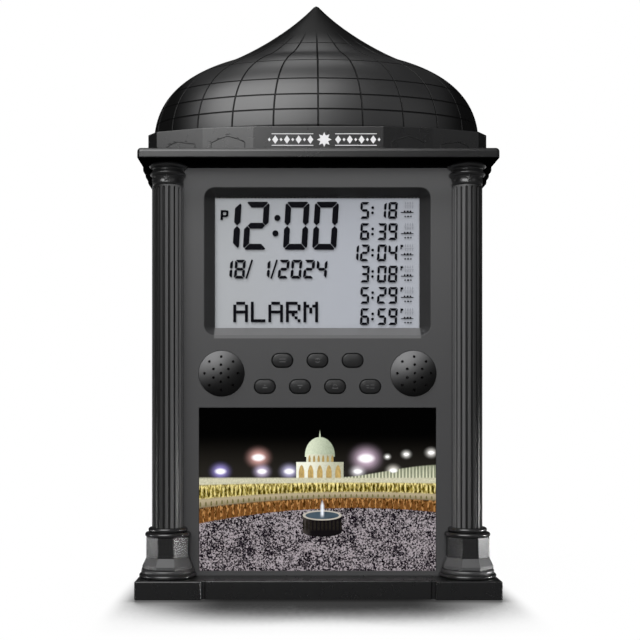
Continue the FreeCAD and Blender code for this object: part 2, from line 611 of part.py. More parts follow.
# ---------------------------------------------------------------- front housing
def key_places():
    """Centres of the seven keys: three above, four below."""
    upper = [((n - 1) * KEY_PITCH, CONTROL_Z + KEY_ROW_RISE / 2) for n in range(3)]
    lower = [((n - 1.5) * KEY_PITCH, CONTROL_Z - KEY_ROW_RISE / 2) for n in range(4)]
    return upper + lower


def key_board_bosses():
    """Screw bosses of the key board: two between the upper keys and the speakers, two below."""
    row_edge = KEY_ROW_RISE / 2 + KEY_HEIGHT / 2 + BOSS_RADIUS
    side = SPEAKER_X - WELL_RADIUS - WELL_WALL - KEY_BOSS_GAP - BOSS_RADIUS
    high = [(sx * side, CONTROL_Z + row_edge) for sx in (-1, 1)]
    return high + [(sx * KEY_PITCH, CONTROL_Z - row_edge - KEY_FLANGE) for sx in (-1, 1)]


def main_board_half():
    """Half sizes of the main board, inside the panel's walls."""
    return PANEL_HALF - WALL - BOARD_PLAY, CORNICE_BOTTOM - WALL - BOARD_PLAY - DISPLAY_Z


def main_board_bosses():
    """Screw bosses of the main board, at its corners."""
    half_x, half_z = main_board_half()
    x, z = half_x - BOSS_RADIUS, half_z - BOSS_RADIUS - BOARD_RIM
    return [(sx * x, DISPLAY_Z + sz * z) for sx in (-1, 1) for sz in (-1, 1)]


def housing_posts():
    """The four posts that join the front and rear housings."""
    x = BODY_HALF - POST_INSET
    low, high = PLINTH_TOP + POST_END_INSET, CORNICE_BOTTOM - POST_END_INSET
    return [(sx * x, z) for sx in (-1, 1) for z in (low, high)]


def front_wire(half_x, half_z, radius, y):
    """Rounded rectangle round the display's middle, in a plane that faces the front."""
    plate = rounded_plate(half_x, half_z, radius, y, y + CUT_OVER, DISPLAY_Z)
    return max(plate.Faces, key=lambda f: (abs(f.CenterOfMass.y - y) < TINY, f.Area)).OuterWire


def bezel_recess():
    """The sloped recess in front of the display glass, and the window at its foot."""
    half_x, half_z = DISPLAY_WIDTH / 2, DISPLAY_HEIGHT / 2
    mouth = front_wire(half_x + BEZEL_SIDE, half_z + BEZEL_TOP, BEZEL_CORNER, PANEL_FACE)
    throat = front_wire(half_x, half_z, BEZEL_THROAT_CORNER, GLASS_FRONT)
    slope = Part.makeLoft([mouth, throat], True, True)
    window = box(-half_x, half_x, GLASS_FRONT - BEZEL_SILL, GLASS_FRONT + CUT_OVER,
                 DISPLAY_Z - half_z, DISPLAY_Z + half_z)
    return [slope, window]


def front_shell():
    """Raised panel and the two shoulders behind the columns, hollow and open at the back."""
    panel = box(-PANEL_HALF, PANEL_HALF, PANEL_FACE, PARTING_Y, PLINTH_TOP, CORNICE_BOTTOM)
    panel = panel.makeFillet(PANEL_EDGE, uprights_at(panel, PANEL_FACE))
    shoulders = box(-BODY_HALF, BODY_HALF, SHOULDER_FACE, PARTING_Y, PLINTH_TOP, CORNICE_BOTTOM)
    shoulders = shoulders.makeFillet(CORNER_ROUND / 2, uprights_at(shoulders, SHOULDER_FACE))
    low, high, behind = PLINTH_TOP + WALL, CORNICE_BOTTOM - WALL, PARTING_Y + CUT_OVER
    shell = fused(panel, shoulders)
    shell = shell.cut(box(-PANEL_HALF + WALL, PANEL_HALF - WALL, PANEL_INSIDE, behind, low, high))
    return shell.cut(box(-BODY_HALF + WALL, BODY_HALF - WALL, SHOULDER_FACE + WALL, behind, low, high))


def front_housing():
    """Front shell with the display's bezel, the picture's pocket and the key and speaker openings."""
    shell = front_shell()
    holder_x, holder_z = holder_half()
    half_x, half_z = PICTURE_WIDTH / 2, PICTURE_HEIGHT / 2
    shell = shell.fuse([box(-holder_x, holder_x, PANEL_INSIDE, GLASS_FRONT,
                            DISPLAY_Z - holder_z, DISPLAY_Z + holder_z),
                        box(-half_x - WALL, half_x + WALL, PANEL_INSIDE, PANEL_INSIDE + PICTURE_BACKING,
                            PICTURE_Z - half_z, PICTURE_Z + half_z + WALL)])
    shell = shell.cut(bezel_recess())
    before, behind = PANEL_FACE - CUT_OVER, PANEL_INSIDE + CUT_OVER
    shell = shell.cut(box(-half_x - SEAM, half_x + SEAM, before, PANEL_FACE + SEAM + PICTURE_THICKNESS,
                          PICTURE_Z - half_z - SEAM, PICTURE_Z + half_z + SEAM))
    added, removed = [], []
    for x in (-SPEAKER_X, SPEAKER_X):
        depth = PANEL_INSIDE + DRIVER_DEPTH
        well = rod(WELL_RADIUS + WELL_WALL, PANEL_INSIDE, depth, x, CONTROL_Z)
        added.append(well.cut(rod(WELL_RADIUS, PANEL_INSIDE, depth, x, CONTROL_Z)))
        removed.append(rod(CAP_RADIUS + SEAM, before, behind, x, CONTROL_Z))
    for x, z in key_places():
        removed.append(oval(KEY_WIDTH / 2 + KEY_GAP, KEY_HEIGHT / 2 + KEY_GAP, before, behind, x, z))
    root = PANEL_INSIDE - BOSS_ROOT
    for x, z in key_board_bosses():
        added.append(rod(BOSS_RADIUS, root, KEY_BOARD_FRONT, x, z))
        removed.append(rod(SMALL_HOLE, PANEL_INSIDE, KEY_BOARD_FRONT + CUT_OVER, x, z))
    for x, z in main_board_bosses():
        added.append(rod(BOSS_RADIUS, root, MAIN_BOARD_FRONT, x, z))
        hole = MAIN_BOARD_FRONT - BOARD_SCREW_GRIP - 2 * SCREW_TIP_GAP
        removed.append(rod(SMALL_HOLE, hole, MAIN_BOARD_FRONT + CUT_OVER, x, z))
    for x, z in housing_posts():
        added.append(rod(BOSS_OUTER, SHOULDER_FACE + WALL / 2, PARTING_Y, x, z))
        hole = PARTING_Y - SCREW_GRIP - 2 * SCREW_TIP_GAP
        removed.append(rod(SCREW_HOLE, hole, PARTING_Y + CUT_OVER, x, z))
    shell = shell.fuse(added).removeSplitter()
    return shell.cut(removed)


def holder_half():
    """Half sizes of the frame round the display glass."""
    rim = GLASS_MARGIN + SEAM + HOLDER_WALL
    return DISPLAY_WIDTH / 2 + rim, DISPLAY_HEIGHT / 2 + rim


def lcd_glass():
    """Liquid-crystal cell behind the bezel."""
    x, z = DISPLAY_WIDTH / 2 + GLASS_MARGIN, DISPLAY_HEIGHT / 2 + GLASS_MARGIN
    return box(-x, x, GLASS_FRONT, GLASS_BACK, DISPLAY_Z - z, DISPLAY_Z + z)


def lcd_backlight():
    """Light guide behind the glass, shorter so that the contact strips reach the glass."""
    x, z = DISPLAY_WIDTH / 2 + GLASS_MARGIN - BACKLIGHT_INSET, DISPLAY_HEIGHT / 2
    return box(-x, x, GLASS_BACK, BACKLIGHT_BACK, DISPLAY_Z - z, DISPLAY_Z + z)


def lcd_holder():
    """Frame that keeps the glass and the backlight in line."""
    half_x, half_z = holder_half()
    x, z = half_x - HOLDER_WALL, half_z - HOLDER_WALL
    outer = rounded_plate(half_x, half_z, HOLDER_WALL, GLASS_FRONT, MAIN_BOARD_FRONT, DISPLAY_Z)
    opening = box(-x, x, GLASS_FRONT - CUT_OVER, MAIN_BOARD_FRONT + CUT_OVER, DISPLAY_Z - z, DISPLAY_Z + z)
    bar = box(-x, x, BACKLIGHT_BACK, MAIN_BOARD_FRONT, DISPLAY_Z - HOLDER_WALL, DISPLAY_Z + HOLDER_WALL)
    return fused(outer.cut(opening), bar)


def zebra_strips():
    """Elastomer contact strips between the glass edges and the main board."""
    strips = []
    for side in (-1, 1):
        z = DISPLAY_Z + side * (DISPLAY_HEIGHT / 2 + GLASS_MARGIN - ZEBRA_WIDTH / 2 - SEAT_GAP)
        strips.append(box(-DISPLAY_WIDTH / 2, DISPLAY_WIDTH / 2, GLASS_BACK, MAIN_BOARD_FRONT,
                          z - ZEBRA_WIDTH / 2, z + ZEBRA_WIDTH / 2))
    return Part.makeCompound(strips)


def drilled_board(half_x, half_z, front, centre, places):
    """A circuit board with rounded corners and a screw hole at each place."""
    board = rounded_plate(half_x, half_z, BOARD_CORNER, front, front + BOARD_THICKNESS, centre)
    return board.cut([rod(SMALL_HOLE, front - CUT_OVER, PARTING_Y, x, z) for x, z in places])


def main_board():
    """Main circuit board behind the display, screwed to four bosses."""
    half_x, half_z = main_board_half()
    return drilled_board(half_x, half_z, MAIN_BOARD_FRONT, DISPLAY_Z, main_board_bosses())


def board_components():
    """Sealed processor, memory chip, sound amplifier, crystal and capacitors on the main board."""
    back = MAIN_BOARD_FRONT + BOARD_THICKNESS
    sphere = (BLOB_RADIUS ** 2 + BLOB_RISE ** 2) / (2 * BLOB_RISE)
    blob = Part.makeSphere(sphere, Vector(0, back + BLOB_RISE - sphere, DISPLAY_Z + BLOB_ABOVE))
    reach = BLOB_RADIUS + CUT_OVER
    parts = [blob.common(rod(reach, back, back + BLOB_RISE + CUT_OVER, 0, DISPLAY_Z + BLOB_ABOVE))]
    parts.append(box(CHIP_X - CHIP_WIDTH / 2, CHIP_X + CHIP_WIDTH / 2, back, back + CHIP_RISE,
                     DISPLAY_Z, DISPLAY_Z + CHIP_HEIGHT))
    low = DISPLAY_Z - AMPLIFIER_BELOW - AMPLIFIER_HEIGHT / 2
    parts.append(box(AMPLIFIER_X - AMPLIFIER_WIDTH / 2, AMPLIFIER_X + AMPLIFIER_WIDTH / 2,
                     back, back + AMPLIFIER_RISE, low, low + AMPLIFIER_HEIGHT))
    parts.append(oval(CRYSTAL_HALF_WIDTH, CRYSTAL_HALF_HEIGHT, back, back + CRYSTAL_RISE,
                      CRYSTAL_X, DISPLAY_Z - CRYSTAL_BELOW))
    for n in range(CAPACITOR_COUNT):
        parts.append(rod(CAPACITOR_RADIUS, back, back + CAPACITOR_RISE,
                         CAPACITOR_X + n * CAPACITOR_PITCH, DISPLAY_Z - CAPACITOR_BELOW))
    return Part.makeCompound(parts)


def board_screws():
    """Small screws through the two boards into their bosses."""
    made = []
    for places, front, grip in ((main_board_bosses(), MAIN_BOARD_FRONT, BOARD_SCREW_GRIP),
                                (key_board_bosses(), KEY_BOARD_FRONT, KEY_SCREW_GRIP)):
        for x, z in places:
            made.append(screw(Vector(x, front - grip, z), Y_AXIS, BOARD_THICKNESS + grip,
                              SMALL_SCREW_RADIUS, SMALL_HEAD_RADIUS, SMALL_HEAD_HEIGHT))
    return Part.makeCompound(made)


def picture_plate():
    """Printed plate in the pocket under the keys."""
    front = PANEL_FACE + SEAM
    return rounded_plate(PICTURE_WIDTH / 2, PICTURE_HEIGHT / 2, PICTURE_CORNER,
                         front, front + PICTURE_THICKNESS, PICTURE_Z)


# ---------------------------------------------------------------- loudspeakers, built for the +X side
def speaker_cap():
    """Domed grille with two rings of holes, its flange behind the panel."""
    x, tip = SPEAKER_X, PANEL_FACE - CAP_RISE
    sphere = (CAP_RADIUS ** 2 + CAP_RISE ** 2) / (2 * CAP_RISE)
    centre = Vector(x, tip + sphere, CONTROL_Z)
    dome = Part.makeSphere(sphere, centre).common(rod(CAP_RADIUS, tip - CUT_OVER, PANEL_FACE, x, CONTROL_Z))
    neck = rod(CAP_RADIUS, PANEL_FACE, CONE_FRONT, x, CONTROL_Z)
    flange = rod(CAP_RADIUS + CAP_FLANGE, PANEL_INSIDE, CONE_FRONT, x, CONTROL_Z)
    body = fused(dome, neck, flange)
    inner = CAP_RADIUS - CAP_WALL
    hollow = Part.makeSphere(sphere - CAP_WALL, centre)
    hollow = hollow.common(rod(inner, tip, PANEL_FACE + CUT_OVER, x, CONTROL_Z))
    bore = rod(inner, PANEL_FACE, PANEL_INSIDE + CUT_OVER, x, CONTROL_Z)
    holes = [rod(CAP_HOLE_RADIUS, tip - CUT_OVER, PANEL_FACE, x, CONTROL_Z)]
    for radius, count in zip((CAP_INNER_RING, CAP_OUTER_RING), CAP_HOLE_COUNTS):
        for n in range(count):
            angle = 2 * math.pi * n / count
            holes.append(rod(CAP_HOLE_RADIUS, tip - CUT_OVER, PANEL_FACE,
                             x + radius * math.sin(angle), CONTROL_Z + radius * math.cos(angle)))
    return body.cut([hollow, bore] + holes)


def speaker_frame():
    """Pressed basket of the loudspeaker, behind the cone's rim."""
    x, front = SPEAKER_X, CONE_FRONT + CONE_SHEET
    rim = rod(DRIVER_RADIUS, front, front + BASKET_RIM, x, CONTROL_Z)
    cup = Part.makeCone(DRIVER_RADIUS - BASKET_SHEET, MAGNET_RADIUS + BASKET_SHEET, DRIVER_DEPTH - BASKET_RIM,
                        Vector(x, front + BASKET_RIM, CONTROL_Z), Y_AXIS)
    inside = Part.makeCone(DRIVER_RADIUS - 2 * BASKET_SHEET, MAGNET_RADIUS, DRIVER_DEPTH - BASKET_SHEET,
                           Vector(x, front, CONTROL_Z), Y_AXIS)
    return fused(rim, cup).cut(inside)


def speaker_cone():
    """Thin film cone with a shallow middle, its rim between the cap's flange and the basket."""
    x = SPEAKER_X
    outer, edge, inner = DRIVER_RADIUS - SEAM, DRIVER_RADIUS - 3 * BASKET_SHEET, MAGNET_RADIUS / 2
    front = [(outer, 0), (edge, 0), (inner, CONE_DEPTH), (0, CONE_MIDDLE_DEPTH)]
    back = [(r, y + CONE_SHEET) for r, y in reversed(front)]
    face = Part.Face(Part.makePolygon([Vector(x + r, CONE_FRONT + y, CONTROL_Z)
                                       for r, y in front + back + front[:1]]))
    return face.revolve(Vector(x, 0, CONTROL_Z), Y_AXIS, 360)


def speaker_magnet():
    """Round magnet with its back plate, on the basket."""
    start = CONE_FRONT + CONE_SHEET + DRIVER_DEPTH
    end = start + MAGNET_DEPTH
    magnet = rod(MAGNET_RADIUS, start, end, SPEAKER_X, CONTROL_Z)
    return fused(magnet, rod(MAGNET_RADIUS + BASKET_SHEET, end, end + BASKET_RIM, SPEAKER_X, CONTROL_Z))


# ---------------------------------------------------------------- keys
def key_button(x, z):
    """One key: crowned oval cap through the panel, with a flange that stops it from coming out."""
    front = PANEL_FACE - KEY_PROUD
    cap = oval(KEY_WIDTH / 2, KEY_HEIGHT / 2, front, KEY_FLANGE_FRONT, x, z)
    cap = cap.makeFillet(min(KEY_CROWN, KEY_PROUD), edges_at(cap, lambda p: abs(p.y - front) < TINY))
    flange = oval(KEY_WIDTH / 2 + KEY_FLANGE, KEY_HEIGHT / 2 + KEY_FLANGE,
                  KEY_FLANGE_FRONT, KEY_FLANGE_BACK, x, z)
    return fused(cap, flange)


def key_dome(x, z):
    """Collapsing rubber dome that pushes a key back."""
    front = MAT_FRONT - DOME_HEIGHT
    outer = Part.makeCone(DOME_TOP_RADIUS, DOME_FOOT_RADIUS, DOME_HEIGHT, Vector(x, front, z), Y_AXIS)
    inner = Part.makeCone(DOME_TOP_RADIUS - DOME_WALL, DOME_FOOT_RADIUS - DOME_WALL, DOME_HEIGHT - DOME_WALL,
                          Vector(x, front + DOME_WALL, z), Y_AXIS)
    return outer.cut(inner)


def keypad_mat():
    """Rubber web under the domes, with holes for the contact pads and the bosses."""
    half_z = KEY_ROW_RISE / 2 + KEY_HEIGHT / 2 + KEY_FLANGE
    mat = rounded_plate(KEYS_HALF, half_z, BOARD_CORNER, MAT_FRONT, KEY_BOARD_FRONT, CONTROL_Z)
    before, behind = MAT_FRONT - CUT_OVER, KEY_BOARD_FRONT + CUT_OVER
    holes = [rod(DOME_FOOT_RADIUS - DOME_WALL, before, behind, x, z) for x, z in key_places()]
    holes += [rod(BOSS_RADIUS + SEAT_GAP, before, behind, x, z) for x, z in key_board_bosses()]
    return mat.cut(holes)


def key_board():
    """Key circuit board, screwed to its bosses behind the rubber web."""
    places = key_board_bosses()
    highest, lowest = max(z for _, z in places), min(z for _, z in places)
    margin = BOSS_RADIUS + BOARD_RIM
    half_x = max([abs(x) + margin for x, _ in places] + [KEYS_HALF])
    half_z = (highest - lowest) / 2 + margin
    return drilled_board(half_x, half_z, KEY_BOARD_FRONT, (highest + lowest) / 2, places)


# ---------------------------------------------------------------- rear housing, battery bay and door
def rear_housing():
    """Rear shell with the battery bay, door frame, screw posts and the lip that enters the front shell."""
    shell = box(-BODY_HALF, BODY_HALF, PARTING_Y, BODY_BACK, PLINTH_TOP, CORNICE_BOTTOM)
    shell = shell.makeFillet(CORNER_ROUND, uprights_at(shell, BODY_BACK))
    low, high, inside = PLINTH_TOP + WALL, CORNICE_BOTTOM - WALL, BODY_HALF - WALL
    shell = shell.cut(box(-inside, inside, PARTING_Y - CUT_OVER, BODY_BACK - WALL, low, high))
    added = [joining_lip(low, high)]
    rooted = BODY_BACK - WALL / 2
    added.append(box(-BAY_HALF_LENGTH - BAY_WALL, BAY_HALF_LENGTH + BAY_WALL, BAY_FLOOR - BAY_WALL, rooted,
                     BAY_Z - BAY_HALF_HEIGHT - BAY_WALL, BAY_Z + BAY_HALF_HEIGHT + BAY_WALL))
    frame_x, frame_z = DOOR_HALF_WIDTH + DOOR_FRAME, DOOR_HALF_HEIGHT + DOOR_FRAME
    added.append(box(-frame_x, frame_x, BODY_BACK - DOOR_THICKNESS - BAY_WALL, rooted,
                     BAY_Z - frame_z, BAY_Z + frame_z))
    added += [rod(POST_RADIUS, PARTING_Y, rooted, x, z) for x, z in housing_posts()]
    grip = WALL + JOINING_SCREW_GRIP
    added += [post(BOSS_OUTER, x, y, PLINTH_TOP + WALL / 2, PLINTH_TOP + grip + 2 * SCREW_TIP_GAP)
              for x, y in joining_screw_places()]
    shell = shell.fuse(added).removeSplitter()
    behind = BODY_BACK + CUT_OVER
    removed = [box(-BAY_HALF_LENGTH, BAY_HALF_LENGTH, BAY_FLOOR, behind,
                   BAY_Z - BAY_HALF_HEIGHT, BAY_Z + BAY_HALF_HEIGHT)]
    door_x, door_z = DOOR_HALF_WIDTH + SEAT_GAP, DOOR_HALF_HEIGHT + SEAT_GAP
    removed.append(box(-door_x, door_x, BODY_BACK - DOOR_THICKNESS - SEAT_GAP, behind,
                       BAY_Z - door_z, BAY_Z + door_z))
    pin_end = DOOR_HALF_WIDTH + HINGE_PIN_LENGTH + SEAT_GAP
    removed.append(Part.makeCylinder(HINGE_PIN_RADIUS + PIN_CLEARANCE, 2 * pin_end,
                                     Vector(-pin_end, HINGE_Y, HINGE_Z), X_AXIS))
    scoop = Vector(0, BODY_BACK + SCOOP_RADIUS - DOOR_THICKNESS, BAY_Z - DOOR_HALF_HEIGHT)
    removed.append(Part.makeSphere(SCOOP_RADIUS, scoop))
    for x, y in joining_screw_places():
        removed.append(post(SCREW_HOLE, x, y, PLINTH_TOP - CUT_OVER, PLINTH_TOP + grip))
        removed.append(post(SCREW_HOLE, x, y, CORNICE_BOTTOM - 2 * WALL, CORNICE_BOTTOM + CUT_OVER))
    for x, z in housing_posts():
        removed.append(rod(SCREW_HOLE, PARTING_Y - CUT_OVER, behind, x, z))
        removed.append(rod(COUNTERBORE_RADIUS, BODY_BACK - COUNTERBORE_DEPTH, behind, x, z))
    return shell.cut(removed)


def joining_lip(low, high):
    """Lip round the rear shell's mouth that enters the front shell, with the flange that carries it."""
    x, z0, z1 = BODY_HALF - WALL - SEAM, low + SEAM, high - SEAM
    lip = box(-x, x, PARTING_Y - LIP_HEIGHT, PARTING_Y + LIP_HEIGHT, z0, z1)
    root = BODY_HALF - WALL / 2
    flange = box(-root, root, PARTING_Y + LIP_HEIGHT / 2, PARTING_Y + LIP_HEIGHT,
                 low - WALL / 2, high + WALL / 2)
    reach = LIP_HEIGHT + CUT_OVER
    inside = box(-x + LIP_THICKNESS, x - LIP_THICKNESS, PARTING_Y - reach, PARTING_Y + reach,
                 z0 + LIP_THICKNESS, z1 - LIP_THICKNESS)
    return lip.fuse(flange).cut(inside)


def battery_door():
    """Battery door hung on two pins at its upper edge, with finger grooves at the lower edge."""
    lowest = BAY_Z - DOOR_HALF_HEIGHT
    plate = box(-DOOR_HALF_WIDTH, DOOR_HALF_WIDTH, BODY_BACK - DOOR_THICKNESS, BODY_BACK, lowest, HINGE_Z)
    roll = Part.makeCylinder(DOOR_THICKNESS / 2, 2 * DOOR_HALF_WIDTH,
                             Vector(-DOOR_HALF_WIDTH, HINGE_Y, HINGE_Z), X_AXIS)
    reach = DOOR_HALF_WIDTH + HINGE_PIN_LENGTH
    pins = Part.makeCylinder(HINGE_PIN_RADIUS, 2 * reach, Vector(-reach, HINGE_Y, HINGE_Z), X_AXIS)
    door = fused(plate, roll, pins)
    grooves = []
    for n in range(GRIP_COUNT):
        z, half = lowest + GRIP_FROM_EDGE + GRIP_PITCH * n, GRIP_HALF_LENGTH - GRIP_TAPER * n
        grooves.append(box(-half, half, BODY_BACK - GRIP_DEPTH, BODY_BACK + CUT_OVER, z, z + GRIP_WIDTH))
    return door.cut(grooves)


def cell_heights():
    """Centre heights of the battery cells."""
    pitch = CELL_DIAMETER + CELL_PLAY
    return [BAY_Z + (n - (CELL_COUNT - 1) / 2) * pitch for n in range(CELL_COUNT)]


def battery_leaf_contacts():
    """Sprung leaf contacts at the negative ends of the cells."""
    x, y = -BAY_HALF_LENGTH, BAY_FLOOR + CELL_DIAMETER / 2
    sheet, foot = CONTACT_SHEET, LEAF_HALF - CONTACT_SHEET
    made = []
    for z in cell_heights():
        low = z - LEAF_WIDTH / 2
        near, far = Vector(x, y - LEAF_HALF, low), Vector(x, y + LEAF_HALF, low)
        near_foot, far_foot = Vector(x, y - foot, low), Vector(x, y + foot, low)
        outer = Part.Arc(near, Vector(x + LEAF_BOW, y, low), far).toShape()
        inner = Part.Arc(far_foot, Vector(x + LEAF_BOW - sheet, y, low), near_foot).toShape()
        edge = Part.Wire([outer, Part.makeLine(far, far_foot), inner, Part.makeLine(near_foot, near)])
        made.append(Part.Face(edge).extrude(Z_AXIS * LEAF_WIDTH))
    return Part.makeCompound(made)


def battery_plate_contacts():
    """Flat contacts with a pressed button at the positive ends."""
    x, y = BAY_HALF_LENGTH - CONTACT_SHEET, BAY_FLOOR + CELL_DIAMETER / 2
    made = []
    for z in cell_heights():
        plate = box(x, BAY_HALF_LENGTH, y - PLATE_HALF, y + PLATE_HALF, z - PLATE_HALF, z + PLATE_HALF)
        button = Part.makeCone(PLATE_BUTTON_RADIUS, PLATE_BUTTON_TOP, PLATE_BUTTON_RISE,
                               Vector(x, y, z), -X_AXIS)
        made.append(fused(plate, button))
    return Part.makeCompound(made)


def housing_screws():
    """Long screws from the back that draw the two housings together."""
    seat = BODY_BACK - COUNTERBORE_DEPTH
    length = seat - PARTING_Y + SCREW_GRIP
    return Part.makeCompound([screw(Vector(x, PARTING_Y - SCREW_GRIP, z), Y_AXIS, length,
                                    SCREW_RADIUS, SCREW_HEAD_RADIUS, SCREW_HEAD_HEIGHT)
                              for x, z in housing_posts()])


def body_screws():
    """Screws from inside the plinth up into the body's floor."""
    length = 2 * WALL + JOINING_SCREW_GRIP - SCREW_TIP_GAP
    return Part.makeCompound([screw(Vector(x, y, PLINTH_TOP - WALL + length), -Z_AXIS, length,
                                    SCREW_RADIUS, SCREW_HEAD_RADIUS, SCREW_HEAD_HEIGHT)
                              for x, y in joining_screw_places()])


def cornice_screws():
    """Screws from inside the body up into the cornice's pads."""
    length = WALL + CORNICE_THICKNESS - CORNICE_SKIN / 2 - SCREW_TIP_GAP
    return Part.makeCompound([screw(Vector(x, y, CORNICE_BOTTOM - WALL + length), -Z_AXIS, length,
                                    SCREW_RADIUS, SCREW_HEAD_RADIUS, SCREW_HEAD_HEIGHT)
                              for x, y in joining_screw_places()])


# ---------------------------------------------------------------- mouldings, cornice, drum and dome
def body_core(z0, z1, gap):
    """The body behind its shoulders, grown by a gap, to cut the mouldings free of it."""
    core = box(-BODY_HALF - gap, BODY_HALF + gap, SHOULDER_FACE - WALL, BODY_BACK + gap, z0, z1)
    uprights = [e for e in core.Edges if straight_along(e, Z_AXIS) and e.Vertexes[0].Y > PARTING_Y]
    return core.makeFillet(CORNER_ROUND, uprights)


def body_moulding(profile, z):
    """A moulding that runs round the body's sides and back with mitred corners.

    The profile lies in the XZ plane, with x = 0 on the body's face and outwards positive.
    """
    corners = [Vector(BODY_HALF, SHOULDER_FACE, z), Vector(BODY_HALF, BODY_BACK, z),
               Vector(-BODY_HALF, BODY_BACK, z), Vector(-BODY_HALF, SHOULDER_FACE, z)]
    path = Part.makePolygon(corners)
    section = profile.translated(corners[0])
    sweep = Part.BRepOffsetAPI.MakePipeShell(path)
    sweep.setTransitionMode(1)
    sweep.add(section, False, False)
    sweep.build()
    sweep.makeSolid()
    solid = sweep.shape()
    if solid.Volume < 0:
        solid.reverse()
    return solid.cut(body_core(PLINTH_TOP - CUT_OVER, CORNICE_TOP, SEAM))


def joining_screw_places():
    """Screws that hold the plinth and the cornice to the body, in the rear housing."""
    x, y = BODY_HALF - JOINING_SCREW_INSET, (PARTING_Y + LIP_HEIGHT + BODY_BACK) / 2
    return [(sx * x, y + sy * JOINING_SCREW_SPREAD / 2) for sx in (-1, 1) for sy in (-1, 1)]


def bed_profile():
    """Section of the three hollow steps under the cornice, x outwards from the body's face."""
    rise, reach = BED_HEIGHT / 3, BED_DEPTH - 3 * BED_STEP_DEPTH
    z = -BED_HEIGHT
    runs = [(-2 * WALL, z), (reach, z)]
    for n in range(2):
        reach, z = reach + BED_STEP_DEPTH, z + rise
        runs += [(reach, z - BED_BAND, BED_SAG), (reach, z)]
    runs += [(BED_DEPTH, -BED_BAND, BED_SAG), (BED_DEPTH, BED_ROOT)]
    return outline((-2 * WALL, BED_ROOT), *runs)


def cornice():
    """Cornice slab with a rounded edge, a stepped bed moulding round the body and a fillet over the panel."""
    half_x, half_y = CORNICE_HALF, CORNICE_HALF_DEPTH
    slab = box(-half_x, half_x, -half_y, half_y, CORNICE_BOTTOM, CORNICE_TOP)
    slab = slab.makeFillet(CORNICE_ROUND, [e for e in slab.Edges if straight_along(e, Z_AXIS)])
    slab = slab.makeFillet(CORNICE_ROUND, edges_at(slab, lambda p: abs(p.z - CORNICE_TOP) < TINY))
    slab = slab.makeFillet(CORNICE_LOWER_ROUND, edges_at(slab, lambda p: abs(p.z - CORNICE_BOTTOM) < TINY))
    end = COLUMN_X - ABACUS_RADIUS - SEAM
    fillet = box(-end, end, PANEL_FACE - FRONT_BED_DEPTH, PANEL_FACE - SEAM,
                 CORNICE_BOTTOM - FRONT_BED_HEIGHT, CORNICE_BOTTOM)
    inside = box(-BODY_HALF + WALL, BODY_HALF - WALL, SHOULDER_FACE + WALL, BODY_BACK - WALL,
                 CORNICE_BOTTOM - CUT_OVER, CORNICE_TOP - CORNICE_SKIN)
    screw_end = CORNICE_TOP - CORNICE_SKIN / 2
    pads = [post(POST_RADIUS, x, y, CORNICE_BOTTOM, screw_end) for x, y in joining_screw_places()]
    bed = body_moulding(bed_profile(), CORNICE_BOTTOM)
    body = slab.fuse([bed, fillet]).cut(inside).fuse(pads).removeSplitter()
    groove = Vector(0, 0, TONGUE_DEPTH + SEAM)
    recess = Part.Face(drum_outline(WALL + SEAM)).extrude(groove)
    recess = recess.cut(Part.Face(drum_outline(2 * WALL)).extrude(groove))
    recess.translate(Z_AXIS * CORNICE_TOP - groove)
    holes = [post(SCREW_HOLE, x, y, CORNICE_BOTTOM - CUT_OVER, screw_end) for x, y in joining_screw_places()]
    return body.cut([recess] + holes)


def base_moulding():
    """Stepped moulding with a hollow curve, round the sides and back of the body's foot."""
    ledge, band = FOOT_MOULD_DEPTH - FOOT_LEDGE, FOOT_MOULD_HEIGHT + FOOT_BAND_HEIGHT
    top = band + FOOT_COVE_HEIGHT
    ease = FOOT_MOULD_EASE
    profile = outline((-WALL, 0), (FOOT_MOULD_DEPTH, 0), (FOOT_MOULD_DEPTH, FOOT_MOULD_HEIGHT - ease),
                      (FOOT_MOULD_DEPTH - ease, FOOT_MOULD_HEIGHT, ease * QUARTER_SAG),
                      (ledge, FOOT_MOULD_HEIGHT), (ledge, band),
                      (FOOT_COVE_LIP, top, -FOOT_COVE_SAG), (-WALL, top))
    return body_moulding(profile, PLINTH_TOP)


def drum_outline(inset=0.0):
    """Polygon of the drum: a wide front face, two turned faces and a chamfer on each side, back the same."""
    steps = [(DRUM_FACE_WIDTH, angle) for angle in DRUM_FACE_ANGLES] + [(DRUM_CHAMFER, DRUM_CHAMFER_ANGLE)]
    runs = []
    for width, angle in steps:
        turn = math.radians(angle)
        runs.append((width * math.cos(turn), width * math.sin(turn)))
    x, y = DRUM_HALF - sum(run for run, _ in runs), -DRUM_HALF_DEPTH + inset
    shrink = 1 - inset / DRUM_HALF
    points = [(x * shrink, y)]
    for run, back in runs:
        x, y = x + run, y + back
        points.append((x * shrink, y))
    right = points + [(x, -y) for x, y in reversed(points)]
    corners = [Vector(x, y, 0) for x, y in right + [(-x, -y) for x, y in right]]
    return Part.makePolygon(corners + [corners[0]])


def oval_prism(half_x, half_y, z0, z1):
    """An upright prism over an ellipse."""
    rim = Part.Wire(Part.Ellipse(Vector(0, 0, z0), half_x, half_y).toShape())
    return Part.Face(rim).extrude(Vector(0, 0, z1 - z0))


def dome_rim():
    """Half sizes of the rim that stands inside the drum's opening."""
    return DOME_HALF - 2 * DOME_SHELL, DOME_HALF_DEPTH - 2 * DOME_SHELL


